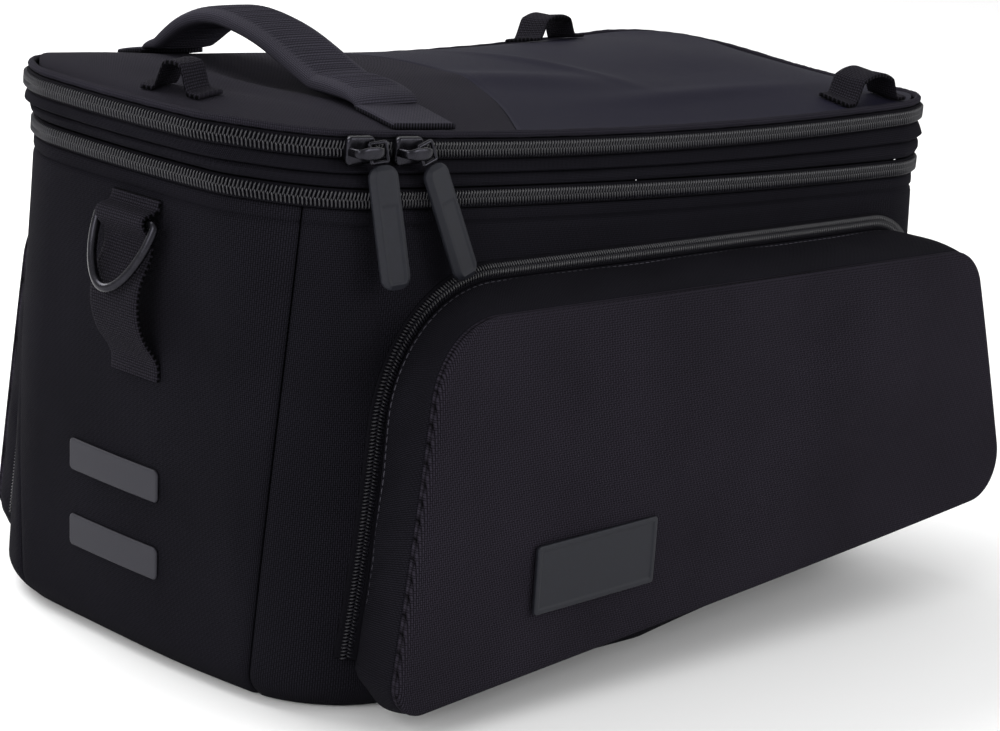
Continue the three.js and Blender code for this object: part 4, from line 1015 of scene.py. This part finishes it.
CORNER_STEPS, EDGE_STEPS = 36, 110
for name, side, mouth_corners, face_corners, low_reach, high_reach in (
    ("near", -1, near_mouth, near_face, 137.0, 129.5),
    ("far", 1, far_mouth, far_face, 119.0, 113.0),
):
    mouth, mouth_out = round_corners(mouth_corners, CORNER_STEPS, EDGE_STEPS)
    face_line, face_out = round_corners(face_corners, CORNER_STEPS, EDGE_STEPS)
    around = np.arange(len(mouth)) / len(mouth)

    def on_face(flat, lift):
        reach = face_reach(low_reach, high_reach, face_corners, flat[..., 0], flat[..., 1])
        return np.stack([flat[..., 0], side * (reach + lift), flat[..., 1]], axis=-1)

    def face_lift(flat, inset):
        """Rounded over at its seam, with soft hollows over the face."""
        hollow = 0.6 * np.sin(flat[..., 0] / 31 + 1) * np.sin(flat[..., 1] / 23) + 0.4 * np.sin(flat[..., 0] / 17 - flat[..., 1] / 29)
        return hollow * edge(inset - 4, 30) - 2.4 * (1 - edge(inset, 3.2))

    insets = np.array([0, 0.25, 0.6, 1.0, 1.5, 2.1, 2.7, 3.1, 3.4, 3.7, 4.0, 4.3, 4.6, 4.9, 5.4, 6.0, 7.0, 8.5, 10.0])
    face = cushion(name + "_pocket_cushion", face_line, face_out, on_face, face_lift, insets, POCKET_FACE, "bag", pocket_cloth)
    dress(face, "body_cloth", name + "_pocket_face")

    share = np.linspace(0, 1, 34)
    puff = 2.1 * np.sin(np.pi * share) ** 0.8
    ruck = 0.5 * np.sin(around * 190)[:, None] * np.sin(np.pi * share) ** 2 + 0.35 * np.sin(around * 77 + 2)[:, None] * np.sin(2 * np.pi * share)
    for_out = mouth_out[:, None] + (face_out - mouth_out)[:, None] * share[None, :, None]
    for_out /= np.linalg.norm(for_out, axis=2, keepdims=True)

    def gusset_side(lift):
        flat = mouth[:, None] + (face_line - mouth)[:, None] * share[None, :, None] + for_out * (puff + lift)[..., None]
        start = side_reach(flat[..., 0], flat[..., 1], side) + POCKET_SEAT
        stop = face_reach(low_reach, high_reach, face_corners, flat[..., 0], flat[..., 1]) - POCKET_FACE - 0.2
        return np.stack([flat[..., 0], side * (start + (stop - start) * share), flat[..., 1]], axis=-1)

    dip = -0.7 * np.exp(-(((share - 0.1) / 0.03) ** 2)) - 1.0 * (1 - edge(1 - share, 0.06))
    gusset = shell(name + "_pocket_band", gusset_side(ruck + dip), gusset_side(0 * ruck - POCKET_GUSSET), "bag", body_cloth, wrap=True)
    dress(gusset, "body_cloth", name + "_pocket_gusset")
    row = gusset_side(ruck + dip)[:, 3]
    stitch_row(name + "_gusset_stitches", row, np.concatenate([mouth_out, 0 * mouth_out[:, :1]], axis=1)[:, [0, 2, 1]], 0.12, 3.0)

    first_point = CORNER_STEPS + EDGE_STEPS + CORNER_STEPS
    ways = np.arange(first_point, len(mouth) + 1) % len(mouth)
    band = np.array([(0.5, 0.0), (6.5, 0.0), (6.5, 0.5), (5.9, 0.7), (1.1, 2.4), (0.5, 2.5)])
    flat = mouth[ways, None] + mouth_out[ways, None] * band[None, :, :1]
    seat = side_reach(flat[..., 0], flat[..., 1], side) + 0.5 + band[None, :, 1]
    tape = loft(name + "_pocket_tape", np.stack([flat[..., 0], side * seat, flat[..., 1]], axis=-1), "bag", tape_cloth)
    dress(tape, "zip_coil", name + "_pocket_zip")
    flat = mouth[ways] + mouth_out[ways] * 3.6
    line = np.stack([flat[:, 0], side * (side_reach(flat[:, 0], flat[:, 1], side) + 2.1), flat[:, 1]], axis=1)
    length = np.append(0, np.cumsum(np.linalg.norm(np.diff(line, axis=0), axis=1)))
    even = np.arange(1, length[-1] - 1, 1.25)
    line = np.stack([np.interp(even, length, line[:, k]) for k in range(3)], axis=1)
    leaning = np.stack([np.interp(even, length, mouth_out[ways, k]) for k in (0, 1)], axis=1)
    facing = np.stack([0.35 * leaning[:, 0], 0 * even + side, 0.35 * leaning[:, 1]], axis=1)
    teeth = zip_teeth(name + "_pocket_teeth", line, facing, -0.1, 2.4, 0.9, 1.1, False)

    if side < 0:
        # A moulded rubber patch, blank, stands proud of the near pocket on a thin raised rim.
        x, z, to_edge = patch(61.0, 25.0, 1.5, 120, 60)
        flat = np.stack([x - 70.5, z + 52.0 + 0.04 * x], axis=-1)
        rim = 0.55 + 0.45 * np.clip((2.2 - to_edge) / 0.5, 0, 1) - 0.5 * (1 - edge(to_edge, 0.7))
        label = shell("patch_plate", on_face(flat, 0.9 + 0.8 * rim), on_face(flat, 0.3 + 0 * x), "bag", rubber.material)
        dress(label, "pull_rubber", "pocket_label")
